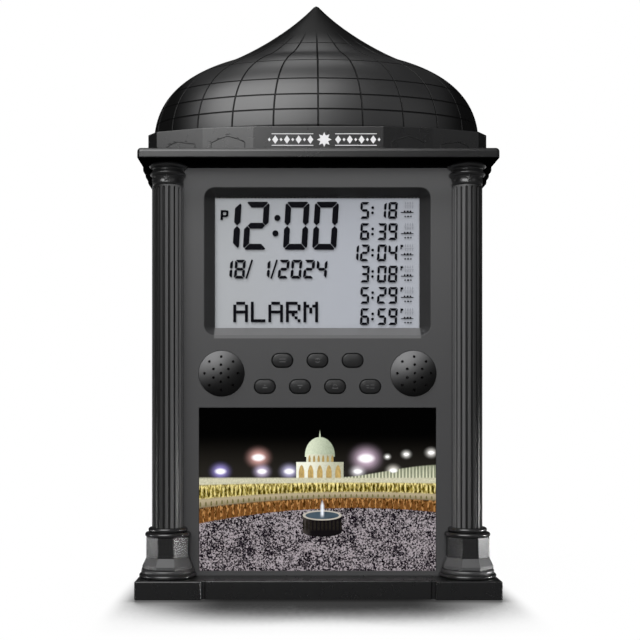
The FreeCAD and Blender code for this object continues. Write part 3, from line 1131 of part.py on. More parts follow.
def dome_drum():
    """Faceted drum that carries the dome, with a tongue below that sits in the cornice's groove."""
    body = Part.Face(drum_outline()).extrude(Vector(0, 0, DRUM_HEIGHT))
    body = body.makeFillet(DRUM_EDGE, edges_at(body, lambda p: abs(p.z - DRUM_HEIGHT) < TINY))
    body = body.cut(Part.Face(drum_outline(WALL)).extrude(Vector(0, 0, DRUM_HEIGHT - WALL)))
    tongue = Part.Face(drum_outline(WALL + 2 * SEAM)).extrude(Vector(0, 0, TONGUE_DEPTH + WALL))
    tongue.translate(Vector(0, 0, -TONGUE_DEPTH))
    web = Part.Face(drum_outline(WALL / 2)).extrude(Vector(0, 0, WALL / 2))
    inside = Part.Face(drum_outline(2 * WALL - SEAM)).extrude(Vector(0, 0, DRUM_HEIGHT - WALL))
    inside.translate(Vector(0, 0, -TONGUE_DEPTH))
    body = body.fuse([tongue, web]).removeSplitter().cut(inside)
    body.translate(Vector(0, 0, CORNICE_TOP))
    rim_x, rim_y = dome_rim()
    return body.cut(oval_prism(rim_x + SEAM, rim_y + SEAM, CORNICE_TOP, DRUM_TOP + CUT_OVER))


def dome_profile(inset=0.0):
    """Half profile of the dome from its foot to its tip: a bulge, a hollow sweep and a small round tip.

    Both curves are cubic and share their tangent at the turn. An inset moves each of their points inwards.
    """
    turn, steep = math.radians(DOME_TURN_SLOPE), math.radians(DOME_TIP_SLOPE)
    down_turn = Vector(math.cos(turn), 0, -math.sin(turn))
    down_tip = Vector(math.cos(steep), 0, -math.sin(steep))
    foot = Vector(DOME_HALF - inset, 0, 0)
    change = Vector(DOME_TURN_RADIUS, 0, DOME_TURN_HEIGHT) - Vector(math.sin(turn), 0, math.cos(turn)) * inset
    ball = DOME_TIP_RADIUS / math.sin(steep)
    tip = Vector(0, 0, DOME_RISE - inset / math.cos(steep))
    tip_edge = Vector(DOME_TIP_RADIUS, 0, tip.z - ball * (1 - math.cos(steep)))
    tip_middle = Vector(ball * math.sin(steep / 2), 0, tip.z - ball * (1 - math.cos(steep / 2)))
    bulge, sweep = Part.BezierCurve(), Part.BezierCurve()
    bulge.setPoles([foot, foot + Z_AXIS * BULGE_FOOT_PULL, change + down_turn * BULGE_TURN_PULL, change])
    sweep.setPoles([change, change - down_turn * SWEEP_TURN_PULL,
                    tip_edge + down_tip * SWEEP_TIP_PULL, tip_edge])
    cap = Part.Arc(tip_edge, tip_middle, tip)
    return [bulge.toShape(), sweep.toShape(), cap.toShape()], foot, tip


def dome_solid(inset=0.0):
    """Solid dome inside the outer surface by an inset, oval in plan."""
    edges, foot, tip = dome_profile(inset)
    edges += [Part.makeLine(tip, Vector()), Part.makeLine(Vector(), foot)]
    solid = turned(edges, Vector())
    stretch = Matrix()
    stretch.scale(1, (DOME_HALF_DEPTH - inset) / (DOME_HALF - inset), 1)
    return solid.transformGeometry(stretch)


def dome_shell():
    """Ogee dome, hollow, with a rim that locates it in the drum."""
    shell = dome_solid().cut(dome_solid(DOME_SHELL))
    rim_x, rim_y = dome_rim()
    ledge = oval_prism(DOME_HALF - DOME_SHELL / 2, DOME_HALF_DEPTH - DOME_SHELL / 2, 0, DOME_RIM_WALL)
    rim = oval_prism(rim_x, rim_y, -DOME_RIM_DROP, DOME_RIM_WALL)
    inside = oval_prism(rim_x - DOME_RIM_WALL, rim_y - DOME_RIM_WALL,
                        -DOME_RIM_DROP - CUT_OVER, DOME_RIM_WALL + CUT_OVER)
    shell = shell.fuse([ledge.fuse(rim).cut(inside)]).removeSplitter()
    shell.translate(Vector(0, 0, DRUM_TOP))
    return shell


# ---------------------------------------------------------------- write the parts
def write(name, shape):
    """Checks one node and writes its STEP file."""
    solids = shape.Solids
    if not solids or not all(s.isValid() and s.isClosed() and s.Volume > 0 for s in solids):
        raise RuntimeError(name + " is not made of valid closed solids")
    shape = solids[0] if len(solids) == 1 else Part.makeCompound(solids)
    shape.exportStep("parts/" + name + ".step")
    print(name, len(solids), round(sum(s.Volume for s in solids), 1))


def main():
    """Builds every node."""
    os.makedirs("parts", exist_ok=True)
    write("rubber_feet", rubber_feet())
    write("base_plate", base_plate())
    write("plinth", plinth())
    write("base_screws", base_screws())
    write("base_moulding", base_moulding())
    for name, maker in (("column_pedestal", column_pedestal), ("column_shaft", column_shaft),
                        ("column_capital", column_capital), ("speaker_cap", speaker_cap),
                        ("speaker_frame", speaker_frame), ("speaker_cone", speaker_cone),
                        ("speaker_magnet", speaker_magnet)):
        right = maker()
        write(name + "_right", right)
        write(name + "_left", mirrored_x(right))
    write("front_housing", front_housing())
    write("lcd_glass", lcd_glass())
    write("lcd_backlight", lcd_backlight())
    write("lcd_holder", lcd_holder())
    write("zebra_strips", zebra_strips())
    write("main_board", main_board())
    write("board_components", board_components())
    write("board_screws", board_screws())
    write("picture_plate", picture_plate())
    for n, (x, z) in enumerate(key_places(), 1):
        write("key_button_%d" % n, key_button(x, z))
        write("key_dome_%d" % n, key_dome(x, z))
    write("keypad_mat", keypad_mat())
    write("key_board", key_board())
    write("rear_housing", rear_housing())
    write("battery_door", battery_door())
    write("battery_leaf_contacts", battery_leaf_contacts())
    write("battery_plate_contacts", battery_plate_contacts())
    write("housing_screws", housing_screws())
    write("body_screws", body_screws())
    write("cornice_screws", cornice_screws())
    write("cornice", cornice())
    write("dome_drum", dome_drum())
    write("dome_shell", dome_shell())


main()
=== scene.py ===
# %% [markdown]
# # A domed table clock in black plastic
# The clock is a small building: a plinth, two fluted columns, a grey front with a display, keys and a
# picture, then a cornice, a faceted drum and an ogee dome. The imported CAD model already has every solid in
# its place, so this lesson adds what moulders and printers add: joint lines on the dome, flowers on the
# capitals, crowned keys, display figures, a print, and the finish of each material. The first step loads
# that model.

# %% Load the imported model
import json
import math
import bmesh
import bpy
import numpy as np
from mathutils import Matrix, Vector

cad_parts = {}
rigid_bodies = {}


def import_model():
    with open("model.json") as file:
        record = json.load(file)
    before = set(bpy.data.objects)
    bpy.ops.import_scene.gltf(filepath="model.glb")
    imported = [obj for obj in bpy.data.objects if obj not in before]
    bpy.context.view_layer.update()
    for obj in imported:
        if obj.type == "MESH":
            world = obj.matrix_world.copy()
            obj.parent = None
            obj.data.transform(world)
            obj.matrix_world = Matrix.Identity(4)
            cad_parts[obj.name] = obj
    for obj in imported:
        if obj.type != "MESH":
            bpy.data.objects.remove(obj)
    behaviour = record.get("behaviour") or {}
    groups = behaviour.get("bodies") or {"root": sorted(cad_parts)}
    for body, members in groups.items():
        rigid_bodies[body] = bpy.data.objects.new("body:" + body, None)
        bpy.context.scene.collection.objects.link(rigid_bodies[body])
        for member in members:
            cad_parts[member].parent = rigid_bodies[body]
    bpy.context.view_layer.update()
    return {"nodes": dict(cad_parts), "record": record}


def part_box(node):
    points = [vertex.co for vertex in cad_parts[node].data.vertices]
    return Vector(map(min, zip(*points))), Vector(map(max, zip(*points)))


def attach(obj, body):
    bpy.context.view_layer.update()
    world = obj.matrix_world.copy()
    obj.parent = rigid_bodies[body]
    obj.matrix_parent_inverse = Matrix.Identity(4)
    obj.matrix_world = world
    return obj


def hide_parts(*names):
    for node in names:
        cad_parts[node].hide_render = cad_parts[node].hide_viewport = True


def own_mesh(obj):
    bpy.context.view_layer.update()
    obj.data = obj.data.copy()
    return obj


for leftover in list(bpy.data.objects):
    bpy.data.objects.remove(leftover)
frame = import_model()
MM = 0.001

# %% [markdown]
# ## Surfaces from arrays
# Most moulded shapes are a grid: one direction goes up or across the piece, the other goes round it. Worked
# out as whole numpy arrays, a grid stays exact where a joint line or a rounded rim needs rows close
# together. A row that shrinks to one point closes a pole, once its doubles are merged.

# %% Build a mesh from a grid of points
def new_piece(name, points, faces, smooth=True):
    """A closed mesh facing outwards, from points (n, 3) in metres and a list or array of faces."""
    mesh = bpy.data.meshes.new(name)
    mesh.from_pydata(points.tolist(), [], faces if isinstance(faces, list) else faces.tolist())
    solid = bmesh.new()
    solid.from_mesh(mesh)
    bmesh.ops.remove_doubles(solid, verts=solid.verts, dist=1e-7)
    bmesh.ops.dissolve_degenerate(solid, edges=solid.edges, dist=1e-8)
    bmesh.ops.recalc_face_normals(solid, faces=solid.faces)
    solid.to_mesh(mesh)
    solid.free()
    mesh.polygons.foreach_set("use_smooth", [smooth] * len(mesh.polygons))
    piece = bpy.data.objects.new(name, mesh)
    bpy.context.scene.collection.objects.link(piece)
    return piece


def grid_faces(rows, columns):
    """Quads of a grid whose columns close round: corner (r, c) joins (r, c+1), (r+1, c+1) and (r+1, c)."""
    r, c = np.meshgrid(np.arange(rows - 1), np.arange(columns), indexing="ij")
    after = (c + 1) % columns
    corners = [r * columns + c, r * columns + after, (r + 1) * columns + after, (r + 1) * columns + c]
    return np.stack(corners, axis=-1).reshape(-1, 4)


def grid_piece(name, points):
    """A piece from a grid (rows, columns, 3) in millimetres, with a pole or a flat cap at its two ends."""
    rows, columns = points.shape[:2]
    first, last = (np.repeat(end.mean(axis=1, keepdims=True), columns, axis=1)
                   for end in (points[:1], points[-1:]))
    whole = np.concatenate([first, points, last]) * MM
    return new_piece(name, whole.reshape(-1, 3), grid_faces(rows + 2, columns))


def upright(reach, heights, turn, flat=1.0, centre=(0.0, 0.0)):
    """Points round an upright axis: radius and height by row, angle from the front by column; flat scales y."""
    x, y = centre[0] + reach * np.sin(turn), centre[1] - flat * reach * np.cos(turn)
    return np.stack([x, y, heights + 0 * turn], -1)


print("grid helpers are ready")

# %% [markdown]
# ## Where a piece belongs
# A piece rides a body, so that it moves with it, takes a finish from one of the record's slots, and may
# stand for CAD nodes, which are then hidden. Its place is read from those nodes and never typed in.

# %% Settle a piece and measure a node
def settle(piece, material, slot, *replaced, body="case"):
    """Gives a finished piece its material, its body and the CAD nodes that it stands for; slot is not used."""
    piece.data.materials.clear()
    piece.data.materials.append(material)
    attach(piece, body)
    if replaced:
        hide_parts(*replaced)
    print(piece.name, len(piece.data.polygons), "faces on", body)
    return piece


def corners_mm(node):
    """Lowest and highest corner of a CAD node in millimetres."""
    low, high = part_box(node)
    return np.array(low) / MM, np.array(high) / MM


glass_low, glass_high = corners_mm("lcd_glass")
DISPLAY_X, _, DISPLAY_Z = (glass_low + glass_high) / 2
PANEL_FACE = corners_mm("picture_plate")[0][1]
print("display centre", round(DISPLAY_Z, 2), "mm up, panel face at", round(PANEL_FACE, 2))

# %% [markdown]
# ## Shader maths as plain Python
# A pattern such as an arch or a grain is a formula, and a formula is easiest to read as one. A small class
# wraps a node's output, so that `1 - mask` or `height * 0.3` adds the Math nodes by itself. Every other
# node comes from one method that takes a node's type, its settings and its inputs.

# %% Wrap a socket
class Wire:
    """A number that changes over the surface. Sums and products of wires add their Math nodes."""
    def __init__(self, sheet, socket):
        self.sheet, self.socket = sheet, socket

    def math(self, operation, *others, last=False):
        """One Math node whose first input is this wire, or whose last one is."""
        inputs = others + (self,) if last else (self,) + others
        return self.sheet.node("Math", {"operation": operation}, dict(enumerate(inputs)))

    __add__ = __radd__ = lambda self, other: self.math("ADD", other)
    __mul__ = __rmul__ = lambda self, other: self.math("MULTIPLY", other)
    __sub__ = lambda self, other: self.math("SUBTRACT", other)
    __rsub__ = lambda self, other: self.math("SUBTRACT", other, last=True)
    __truediv__ = lambda self, other: self.math("DIVIDE", other)
    __rtruediv__ = lambda self, other: self.math("DIVIDE", other, last=True)
    __pow__ = lambda self, other: self.math("POWER", other)
    __gt__ = lambda self, other: self.math("GREATER_THAN", other)
    __lt__ = lambda self, other: self.math("LESS_THAN", other)
    __abs__ = lambda self: self.math("ABSOLUTE")
    __neg__ = lambda self: self * -1

    def step(self, start, end):
        """0 below start, 1 above end, smooth between; start may be the larger one."""
        names = {"Value": self, "From Min": start, "From Max": end}
        return self.sheet.node("MapRange", {"interpolation_type": "SMOOTHSTEP"}, names)


print("wires are ready")

# %% Wrap a node tree
FINISHES = {}


class Sheet:
    """The node tree of one finish, with the shader that feeds its output; FINISHES keeps it by name."""
    def __init__(self, name, owner=bpy.data.materials, shader="BsdfPrincipled", output="OutputMaterial",
                 place="Object"):
        self.material = FINISHES[name] = owner.new(name)
        self.material.use_nodes = True
        self.tree = self.material.node_tree
        self.tree.nodes.clear()
        self.shader = self.node(shader)
        self.output = self.node(output, {}, {"Surface": self.shader})
        self.place = self.node("TexCoord", output=place)

    def node(self, kind, settings=None, inputs=None, output=0):
        """Adds one node: its settings first, then the values or wires of its inputs; returns one output."""
        made = self.tree.nodes.new("ShaderNode" + kind)
        for key, value in (settings or {}).items():
            setattr(made, key, value)
        for key, value in (inputs or {}).items():
            self.feed(made.inputs[key], value)
        return Wire(self, made.outputs[output]) if made.outputs else made

    def feed(self, socket, value):
        """Links a wire to a socket, or sets the socket to a plain value."""
        if isinstance(value, Wire):
            self.tree.links.new(value.socket, socket)
        else:
            socket.default_value = (*value[:3], 1.0) if socket.type == "RGBA" else value

    def set(self, **values):
        """Feeds the shader: Base_Color=..., Roughness=..."""
        for key, value in values.items():
            self.feed(self.shader.socket.node.inputs[key.replace("_", " ")], value)
        return self

    def mix(self, share, low, high):
        """Colour low where share is 0 and high where it is 1."""
        return self.node("Mix", {"data_type": "RGBA"}, {0: share, 6: low, 7: high}, 2)

    def blend(self, share, low, high):
        """Shows shader low where share is 0 and shader high where it is 1."""
        mixed = self.node("MixShader", {}, {0: share, 1: low, 2: high})
        self.feed(self.output.inputs["Surface"], mixed)
        return mixed

    def noise(self, size, detail=3.0, place=None, rough=0.5):
        """Soft random values with features of about that size in millimetres."""
        return self.node("TexNoise", {}, {"Vector": place or self.place, "Scale": 1 / (size * MM),
                                          "Detail": detail, "Roughness": rough})

    def parts(self, vector):
        """The three parts of a vector as wires."""
        split = self.node("SeparateXYZ", {}, {0: vector}).socket.node
        return [Wire(self, socket) for socket in split.outputs]

    def xyz(self):
        """The place on the piece as three wires, in millimetres."""
        return [part / MM for part in self.parts(self.place)]

    def relief(self, height, depth, edge=0.0):
        """Ends a finish: a height field that deep feeds Normal, over edges rounded that much, both in mm."""
        inputs = {"Height": height, "Distance": depth * MM, "Strength": 1.0}
        if edge:
            inputs["Normal"] = self.node("Bevel", {"samples": 12}, {"Radius": edge * MM})
        return self.set(Normal=self.node("Bump", {}, inputs)).material


print("sheets are ready")

# %% [markdown]
# ## Moulded plastics
# Injection-moulded plastic is never one flat colour. The mould's spark-eroded grain gives a fine bump,
# flow and handling make the gloss wander a little, and edges have a small radius that catches the light.
# One recipe serves all plastics and rubbers: grain size, its depth, and how much the gloss sways.

# %% One recipe for plastics and rubbers
def plastic(name, colour, rough, grain=0.35, depth=0.012, edge=0.35, level=0.5, sway=0.14):
    """Tone = colour times 0.94 to 1.06 over centimetres; gloss sways likewise; the bump is fine noise."""
    sheet = Sheet(name)
    broad, grains, handled = sheet.noise(22, 4.0), sheet.noise(grain, 2.0), sheet.noise(6, 5.0, rough=0.62)
    low, high = ([c * share for c in colour] for share in (0.94, 1.06))
    sheet.set(Base_Color=sheet.mix(broad * 0.7 + grains * 0.3, low, high), Specular_IOR_Level=level)
    sheet.set(Roughness=rough + (handled - 0.5) * sway + (grains - 0.5) * sway * 0.4)
    return sheet.relief(grains + broad * 0.5, depth, edge)


POLISHED = {"grain": 0.8, "depth": 0.001}
plastic("case_black", (0.0075, 0.0075, 0.0078), 0.28, **POLISHED, edge=0.45, level=0.8, sway=0.05)
turned_black = plastic("turned_black", (0.011, 0.011, 0.0113), 0.30, **POLISHED, edge=0.0, level=1.0,
                       sway=0.03)
band_black = plastic("band_black", (0.022, 0.022, 0.0225), 0.42, **POLISHED, edge=0.0, level=0.9, sway=0.03)
key_black = plastic("key_black", (0.009, 0.009, 0.0093), 0.42, grain=0.3, depth=0.010, edge=0.12)
silicone = plastic("silicone", (0.35, 0.35, 0.34), 0.62, grain=0.5, depth=0.01)
plastic("holder_black", (0.03, 0.03, 0.03), 0.5)
plastic("chip_black", (0.015, 0.015, 0.016), 0.4, grain=0.2)
plastic("cone_film", (0.05, 0.05, 0.052), 0.45, grain=1.5, depth=0.05)
plastic("foot_rubber", (0.014, 0.014, 0.014), 0.8, grain=0.3, depth=0.05)
plastic("magnet", (0.10, 0.10, 0.10), 0.7, grain=0.25, depth=0.03)
print("plastics:", sorted(FINISHES))

# %% [markdown]
# ## Black with painted light and shade
# Some black pieces carry painted light and shade. The pedestals' sloping flares are painted paler, as light
# from above makes them; the shafts' ribs are painted paler and their flutes darker, most of all beside the
# housing;
# the loudspeaker caps are painted paler towards the upper left; and the cornice is painted darker below the
# capitals. Each mark is a mask, a formula of the place on the piece, which lays a paler or darker tone over the
# black.

# %% Pedestals and loudspeaker caps
def flare_painted_light(name, low, high):
    """Paler and duller on the sloping flare between two heights; the paler tone is painted light from above."""
    sheet = Sheet(name)
    z = sheet.xyz()[2]
    slope = z.step(low - 0.1, low + 0.1) * z.step(high + 0.1, high - 0.1)
    broad = sheet.noise(20, 3.0)
    # painted light: the sloping flare is paler, as light from above makes it
    sheet.set(Base_Color=sheet.mix(slope, (0.0105, 0.0105, 0.0108), (0.044, 0.044, 0.045)))
    sheet.set(Roughness=0.26 + slope * 0.30 + (broad - 0.5) * 0.04, Specular_IOR_Level=0.8)
    return sheet.relief(broad, 0.002)


def cap_painted_light(name, middle, radius):
    """Painted light: paler by the cube of the way across each cap, from its lower right to its upper left."""
    sheet = Sheet(name)
    x, _, z = sheet.xyz()
    to_left, up = x.math("SIGN") * middle[0] - x, z - middle[2]
    share = ((to_left * 0.5 + up * 0.87) / (2 * radius) + 0.5).step(0.0, 1.0)
    grains = sheet.noise(0.4, 2.0)
    # painted light on each cap, brightest at its upper left, as a light there makes it
    sheet.set(Base_Color=sheet.mix(share ** 3, (0.007, 0.007, 0.0071), (0.20, 0.20, 0.203)))
    sheet.set(Roughness=0.55 + (grains - 0.5) * 0.05, Specular_IOR_Level=0.3)
    return sheet.relief(grains, 0.006)


PLINTH_TOP = corners_mm("column_pedestal_left")[0][2]
pedestal_black = flare_painted_light("pedestal_black", PLINTH_TOP + 4.9, PLINTH_TOP + 10.4)
cap_low, cap_high = corners_mm("speaker_cap_right")
cap_painted_light("cap_black", (cap_low + cap_high) / 2, (cap_high - cap_low)[2] / 2)
print("pedestals stand", round(PLINTH_TOP, 2), "mm up")

# %% Shafts and cornice
def flutes_painted_shade_and_light(name, middle, flute, rib):
    """Painted shade in the flutes and painted light on the ribs, between two radii, most of all towards the
    housing.
    """
    sheet = Sheet(name)
    x, y, _ = sheet.xyz()
    outward = abs(x) - middle[0]
    radius = (outward ** 2 + (y - middle[1]) ** 2) ** 0.5
    # painted light: the ribs are paler, most of all on the side towards the housing
    rib_painted_light = sheet.mix(outward.step(6.0, -6.5), (0.010, 0.010, 0.010), (0.095, 0.095, 0.096))
    broad = sheet.noise(22, 4.0)
    # painted shade: inside the flutes' radius the black is darker
    sheet.set(Base_Color=sheet.mix(radius.step(flute, rib), (0.004, 0.004, 0.004), rib_painted_light))
    sheet.set(Roughness=0.42 + (broad - 0.5) * 0.05, Specular_IOR_Level=0.3)
    return sheet.relief(broad, 0.002)


def painted_shade_below(name, height):
    """The case's black, satin above a height and a darker matt black below it, painted shade under the cornice.
    """
    sheet = Sheet(name)
    upper = sheet.xyz()[2].step(height, height + 0.6)
    broad = sheet.noise(22, 4.0)
    sheet.set(Base_Color=(0.0075, 0.0075, 0.0078), Roughness=0.28 + (broad - 0.5) * 0.05)
    sheet.set(Specular_IOR_Level=0.8)
    # painted shade: a darker, matt black under the cornice, where its shadow falls
    matt = sheet.node("BsdfDiffuse", {}, {"Color": (0.0018, 0.0018, 0.0018)})
    sheet.blend(upper, matt, sheet.shader)
    return sheet.relief(broad, 0.002, 0.45)


shaft_black = flutes_painted_shade_and_light("shaft_black", sum(corners_mm("column_shaft_right")) / 2, 6.95, 7.35)
cornice_black = painted_shade_below("cornice_black", corners_mm("column_capital_left")[1][2] + 0.2)
print("blacks:", [name for name in FINISHES if name.endswith("black")])

# %% [markdown]
# ## The grained grey front
# The front and rear shells are a matte grained grey with painted light: paler towards the top, and much paler
# just under the cornice, where its shadow falls. The sloped frame round the display lies behind the panel's
# face and is smoother and darker, with painted shade on its top slope; its sill and a strip of the panel
# below it are painted pale, as light from above makes them. The masks are widths and heights from the
# display's centre, and depths from the panel's face.

# %% Grained grey
def grained_grey(name):
    """Three greys by height, paler upwards as painted light, with the frame, its sill and the lip below it as
    masks.
    """
    sheet = Sheet(name)
    x, y, z = sheet.xyz()
    across, upward, behind = abs(x - DISPLAY_X), z - DISPLAY_Z, y - PANEL_FACE
    inside = across.step(59.6, 59.2) * abs(upward).step(39.2, 38.8)
    bezel = inside * behind.step(0.15, 0.45) * behind.step(8.0, 7.6)
    beside = across.step(53.9, 53.1)
    sill = upward.step(-33.6, -34.2) * beside
    lip = upward.step(-40.0, -39.8) * upward.step(-37.8, -38.0) * beside * behind.step(2.0, 1.6)
    broad, grains = sheet.noise(26, 4.0), sheet.noise(0.28, 2.0)
    grey = sheet.mix(broad * 0.7 + grains * 0.3, (0.039, 0.039, 0.040), (0.045, 0.045, 0.046))
    # painted light: paler towards the top, as light from above makes it
    grey = sheet.mix(z.step(90.0, 200.0), grey, (0.057, 0.057, 0.058))
    # painted light: much paler just under the cornice, against its shadow
    grey = sheet.mix(z.step(204.0, 220.0), grey, (0.115, 0.115, 0.117))
    # painted light: a pale strip of the panel's face below the frame
    grey = sheet.mix(lip, grey, (0.110, 0.110, 0.112))
    # painted shade: the frame's top slope, which faces down, is darker
    slope = sheet.mix(upward.step(30.0, 35.0), (0.026, 0.026, 0.0265), (0.012, 0.012, 0.012))
    # painted light: the frame's sill, which faces up, is pale
    slope = sheet.mix(sill, slope, (0.135, 0.135, 0.137))
    sheet.set(Base_Color=sheet.mix(bezel, grey, slope), Specular_IOR_Level=0.4)
    sheet.set(Roughness=0.58 - bezel * 0.26 + (broad - 0.5) * 0.08)
    return sheet.relief(grains * (1 - bezel), 0.022, 0.4)


print("made", grained_grey("panel_grey").name)

# %% [markdown]
# ## Metals, boards and strips
# Behind the door and inside the case are zinc-plated screws, nickel contacts, green circuit boards and the
# layered rubber strips that feed the display. Plating shows fine drawn lines, solder mask shows the copper
# tracks under it, and a layered strip is hundreds of thin bands.

# %% Plated metal, solder mask and layered rubber
def plated(name, colour, rough):
    """Metal with lines drawn along X: noise stretched 40 times on that axis moves the gloss and the bump."""
    sheet = Sheet(name)
    drawn = sheet.node("Mapping", {}, {"Vector": sheet.place, "Scale": (0.025, 1.0, 1.0)})
    lines = sheet.noise(0.15, 3.0, drawn)
    sheet.set(Base_Color=sheet.mix(lines, [c * 0.9 for c in colour], colour), Metallic=1.0)
    sheet.set(Roughness=rough + lines * 0.12)
    return sheet.relief(lines, 0.004, 0.1)


def solder_mask(name):
    """Green mask, lighter over copper tracks: a brick pattern drawn thin stands for the tracks."""
    sheet = Sheet(name)
    turned = sheet.node("Mapping", {}, {"Vector": sheet.place, "Rotation": (math.pi / 2, 0, 0)})
    tracks = sheet.node("TexBrick", {"offset": 0.5}, {
        "Vector": turned, "Color1": (0, 0, 0), "Color2": (0, 0, 0), "Mortar": (1, 1, 1),
        "Scale": 1 / (9 * MM), "Mortar Size": 0.03, "Brick Width": 0.6, "Row Height": 0.2})
    sheet.set(Base_Color=sheet.mix(tracks, (0.010, 0.075, 0.022), (0.028, 0.16, 0.05)))
    sheet.set(Roughness=0.22 + sheet.noise(14) * 0.12)
    return sheet.relief(tracks, 0.03)


def layered_strip(name):
    """Bands across X, one every 0.3 mm times two pi, dark where the strip conducts."""
    sheet = Sheet(name)
    band = (sheet.xyz()[0] / 0.3).math("SINE").step(-0.2, 0.2)
    sheet.set(Base_Color=sheet.mix(band, (0.05, 0.05, 0.05), (0.50, 0.42, 0.35)), Roughness=0.6)
    return sheet.relief(sheet.noise(0.5), 0.01)


plated("steel", (0.56, 0.56, 0.55), 0.26)
plated("contact_nickel", (0.62, 0.60, 0.56), 0.18)
solder_mask("circuit_board")
layered_strip("zebra_rubber")
print("finishes:", len(FINISHES))

# %% [markdown]
# ## The tiled dome
# The dome is one moulding, but joint lines cut it into tiles: level rings and upright lines that all meet
# at the tip. The profile is two cubic curves, a bulge and a hollow sweep, and the plan is oval.

# %% Profile of the dome
BULGE_ANGLE, TIP_ANGLE = math.radians(17.0), math.radians(46.4)
TURN_PLACE = np.array([48.8, 43.3])
TIP_REACH = 1.2


def cubic(start, pull_start, pull_end, end, count):
    """Points of a cubic curve: (1-t)^3 a + 3(1-t)^2 t b + 3(1-t) t^2 c + t^3 d."""
    t = np.linspace(0, 1, count)[:, None]
    return ((1 - t) ** 3 * start + 3 * (1 - t) ** 2 * t * pull_start
            + 3 * (1 - t) * t ** 2 * pull_end + t ** 3 * end)


def dome_line(half, rise, inset=0.0, count=220):
    """Radius and height from foot to tip: bulge, hollow sweep, and a small round tip."""
    along_turn, along_tip = (np.array([math.cos(a), -math.sin(a)]) for a in (BULGE_ANGLE, TIP_ANGLE))
    foot = np.array([half - inset, 0.0])
    change = TURN_PLACE - np.array([math.sin(BULGE_ANGLE), math.cos(BULGE_ANGLE)]) * inset
    ball = TIP_REACH / math.sin(TIP_ANGLE)
    top = rise - inset / math.cos(TIP_ANGLE)
    edge = np.array([TIP_REACH, top - ball * (1 - math.cos(TIP_ANGLE))])
    bulge = cubic(foot, foot + [0, 26.0], change + along_turn * 20.0, change, count)
    sweep = cubic(change, change - along_turn * 4.5, edge + along_tip * 24.3, edge, count)
    angles = np.linspace(TIP_ANGLE, 0, 8)[1:]
    tip = np.stack([ball * np.sin(angles), top - ball * (1 - np.cos(angles))], axis=1)
    return np.concatenate([bulge, sweep[1:], tip])


shell_high = corners_mm("dome_shell")[1]
drum_low, drum_high = corners_mm("dome_drum")
DOME_HALF, DOME_DEEP, DRUM_TOP = shell_high[0], shell_high[1], drum_high[2]
FLAT = DOME_DEEP / DOME_HALF
outer_line = dome_line(DOME_HALF, shell_high[2] - DRUM_TOP)
print("dome rises", round(shell_high[2] - DRUM_TOP, 2), "mm over", round(DRUM_TOP, 2))

# %% [markdown]
# ### Joint lines as real grooves
# A bump alone would leave the dome's outline smooth. Each joint is instead a few grid rows or columns close
# together, pushed inwards along the surface's own normal. Upright joints fade out where they crowd at the tip.

# %% Rows, columns and grooves of the dome
RING_SEAMS = np.array([9.3, 17.2, 25.9, 37.4, 50.6])
PITCH = 2 * math.pi / 24
SHELL_WALL = 2.2
GROOVE_HALF, GROOVE_DEPTH = 0.38, 0.22
GROOVE_STEPS = np.array([-1.2, -1.0, -0.82, -0.62, 0.0, 0.62, 0.82, 1.0, 1.2]) * GROOVE_HALF


def groove(distance):
    """Depth of a joint line at a distance from its middle: a flat floor and two steep, slightly eased walls."""
    share = np.clip((1 - np.abs(distance) / GROOVE_HALF) / 0.36, 0, 1)
    return GROOVE_DEPTH * (3 * share ** 2 - 2 * share ** 3)


def seam_columns(radius):
    """Angles by row, nine of them close to each upright joint, and their distances from it (9 mm is far)."""
    seam = np.arange(24) * PITCH
    metric = np.hypot(radius * np.cos(seam), FLAT * radius * np.sin(seam))[..., None]
    near = np.clip(GROOVE_STEPS / np.maximum(metric, 1e-3), -0.10 * PITCH, 0.10 * PITCH)
    apart = np.broadcast_to(np.linspace(0.14, 0.86, 6) * PITCH, near.shape[:2] + (6,))
    turn = seam[None, :, None] + np.concatenate([near, apart], axis=2)
    across = np.concatenate([np.broadcast_to(GROOVE_STEPS, near.shape), np.full(apart.shape, 9.0)], axis=2)
    return turn.reshape(len(radius), -1), across.reshape(len(radius), -1)


def dome_grid():
    """Grid of the whole shell: outside from tip to foot, the rim below, then the inside up to its tip."""
    length = np.concatenate([[0], np.cumsum(np.hypot(*np.diff(outer_line, axis=0).T))])
    seam_at = np.interp(RING_SEAMS, outer_line[:, 1], length)
    rows = np.concatenate([np.linspace(0, length[-1], 76)] + [at + GROOVE_STEPS for at in seam_at])
    rows = np.unique(np.round(np.clip(rows, 0, length[-1]), 4))
    radius, height = (np.interp(rows, length, part)[:, None] for part in outer_line.T)
    turn, across = seam_columns(radius)
    spread, climb = (np.gradient(part[:, 0], rows)[:, None] for part in (radius, height))
    normal = np.cross(upright(radius, 0, turn + math.pi / 2, FLAT), upright(spread, climb, turn, FLAT))
    normal /= np.maximum(np.linalg.norm(normal, axis=-1, keepdims=True), 1e-9)
    ring = np.abs(rows[:, None] - seam_at).min(axis=1, keepdims=True)
    depth = np.maximum(groove(ring), groove(across) * np.clip((radius - 20.0) / 18.0, 0, 1))
    outside = upright(radius, DRUM_TOP + height, turn, FLAT) - normal * depth[..., None]
    cut, rise = np.array([(4.4, 0.0), (4.4, -3.0), (6.0, -3.0), (6.0, 1.6)]).T[..., None]
    rim = upright(DOME_HALF - cut, DRUM_TOP + rise, turn[:1], (DOME_DEEP - cut) / (DOME_HALF - cut))
    inner = dome_line(DOME_HALF, shell_high[2] - DRUM_TOP, SHELL_WALL)
    inner = inner[np.searchsorted(inner[:, 1], 1.7)::14]
    slim = (DOME_DEEP - SHELL_WALL) / (DOME_HALF - SHELL_WALL)
    return np.concatenate([outside[::-1], rim, upright(inner[:, :1], DRUM_TOP + inner[:, 1:], turn[:1], slim)])


dome = grid_piece("dome_tiled", dome_grid())
print("dome points:", len(dome.data.vertices))
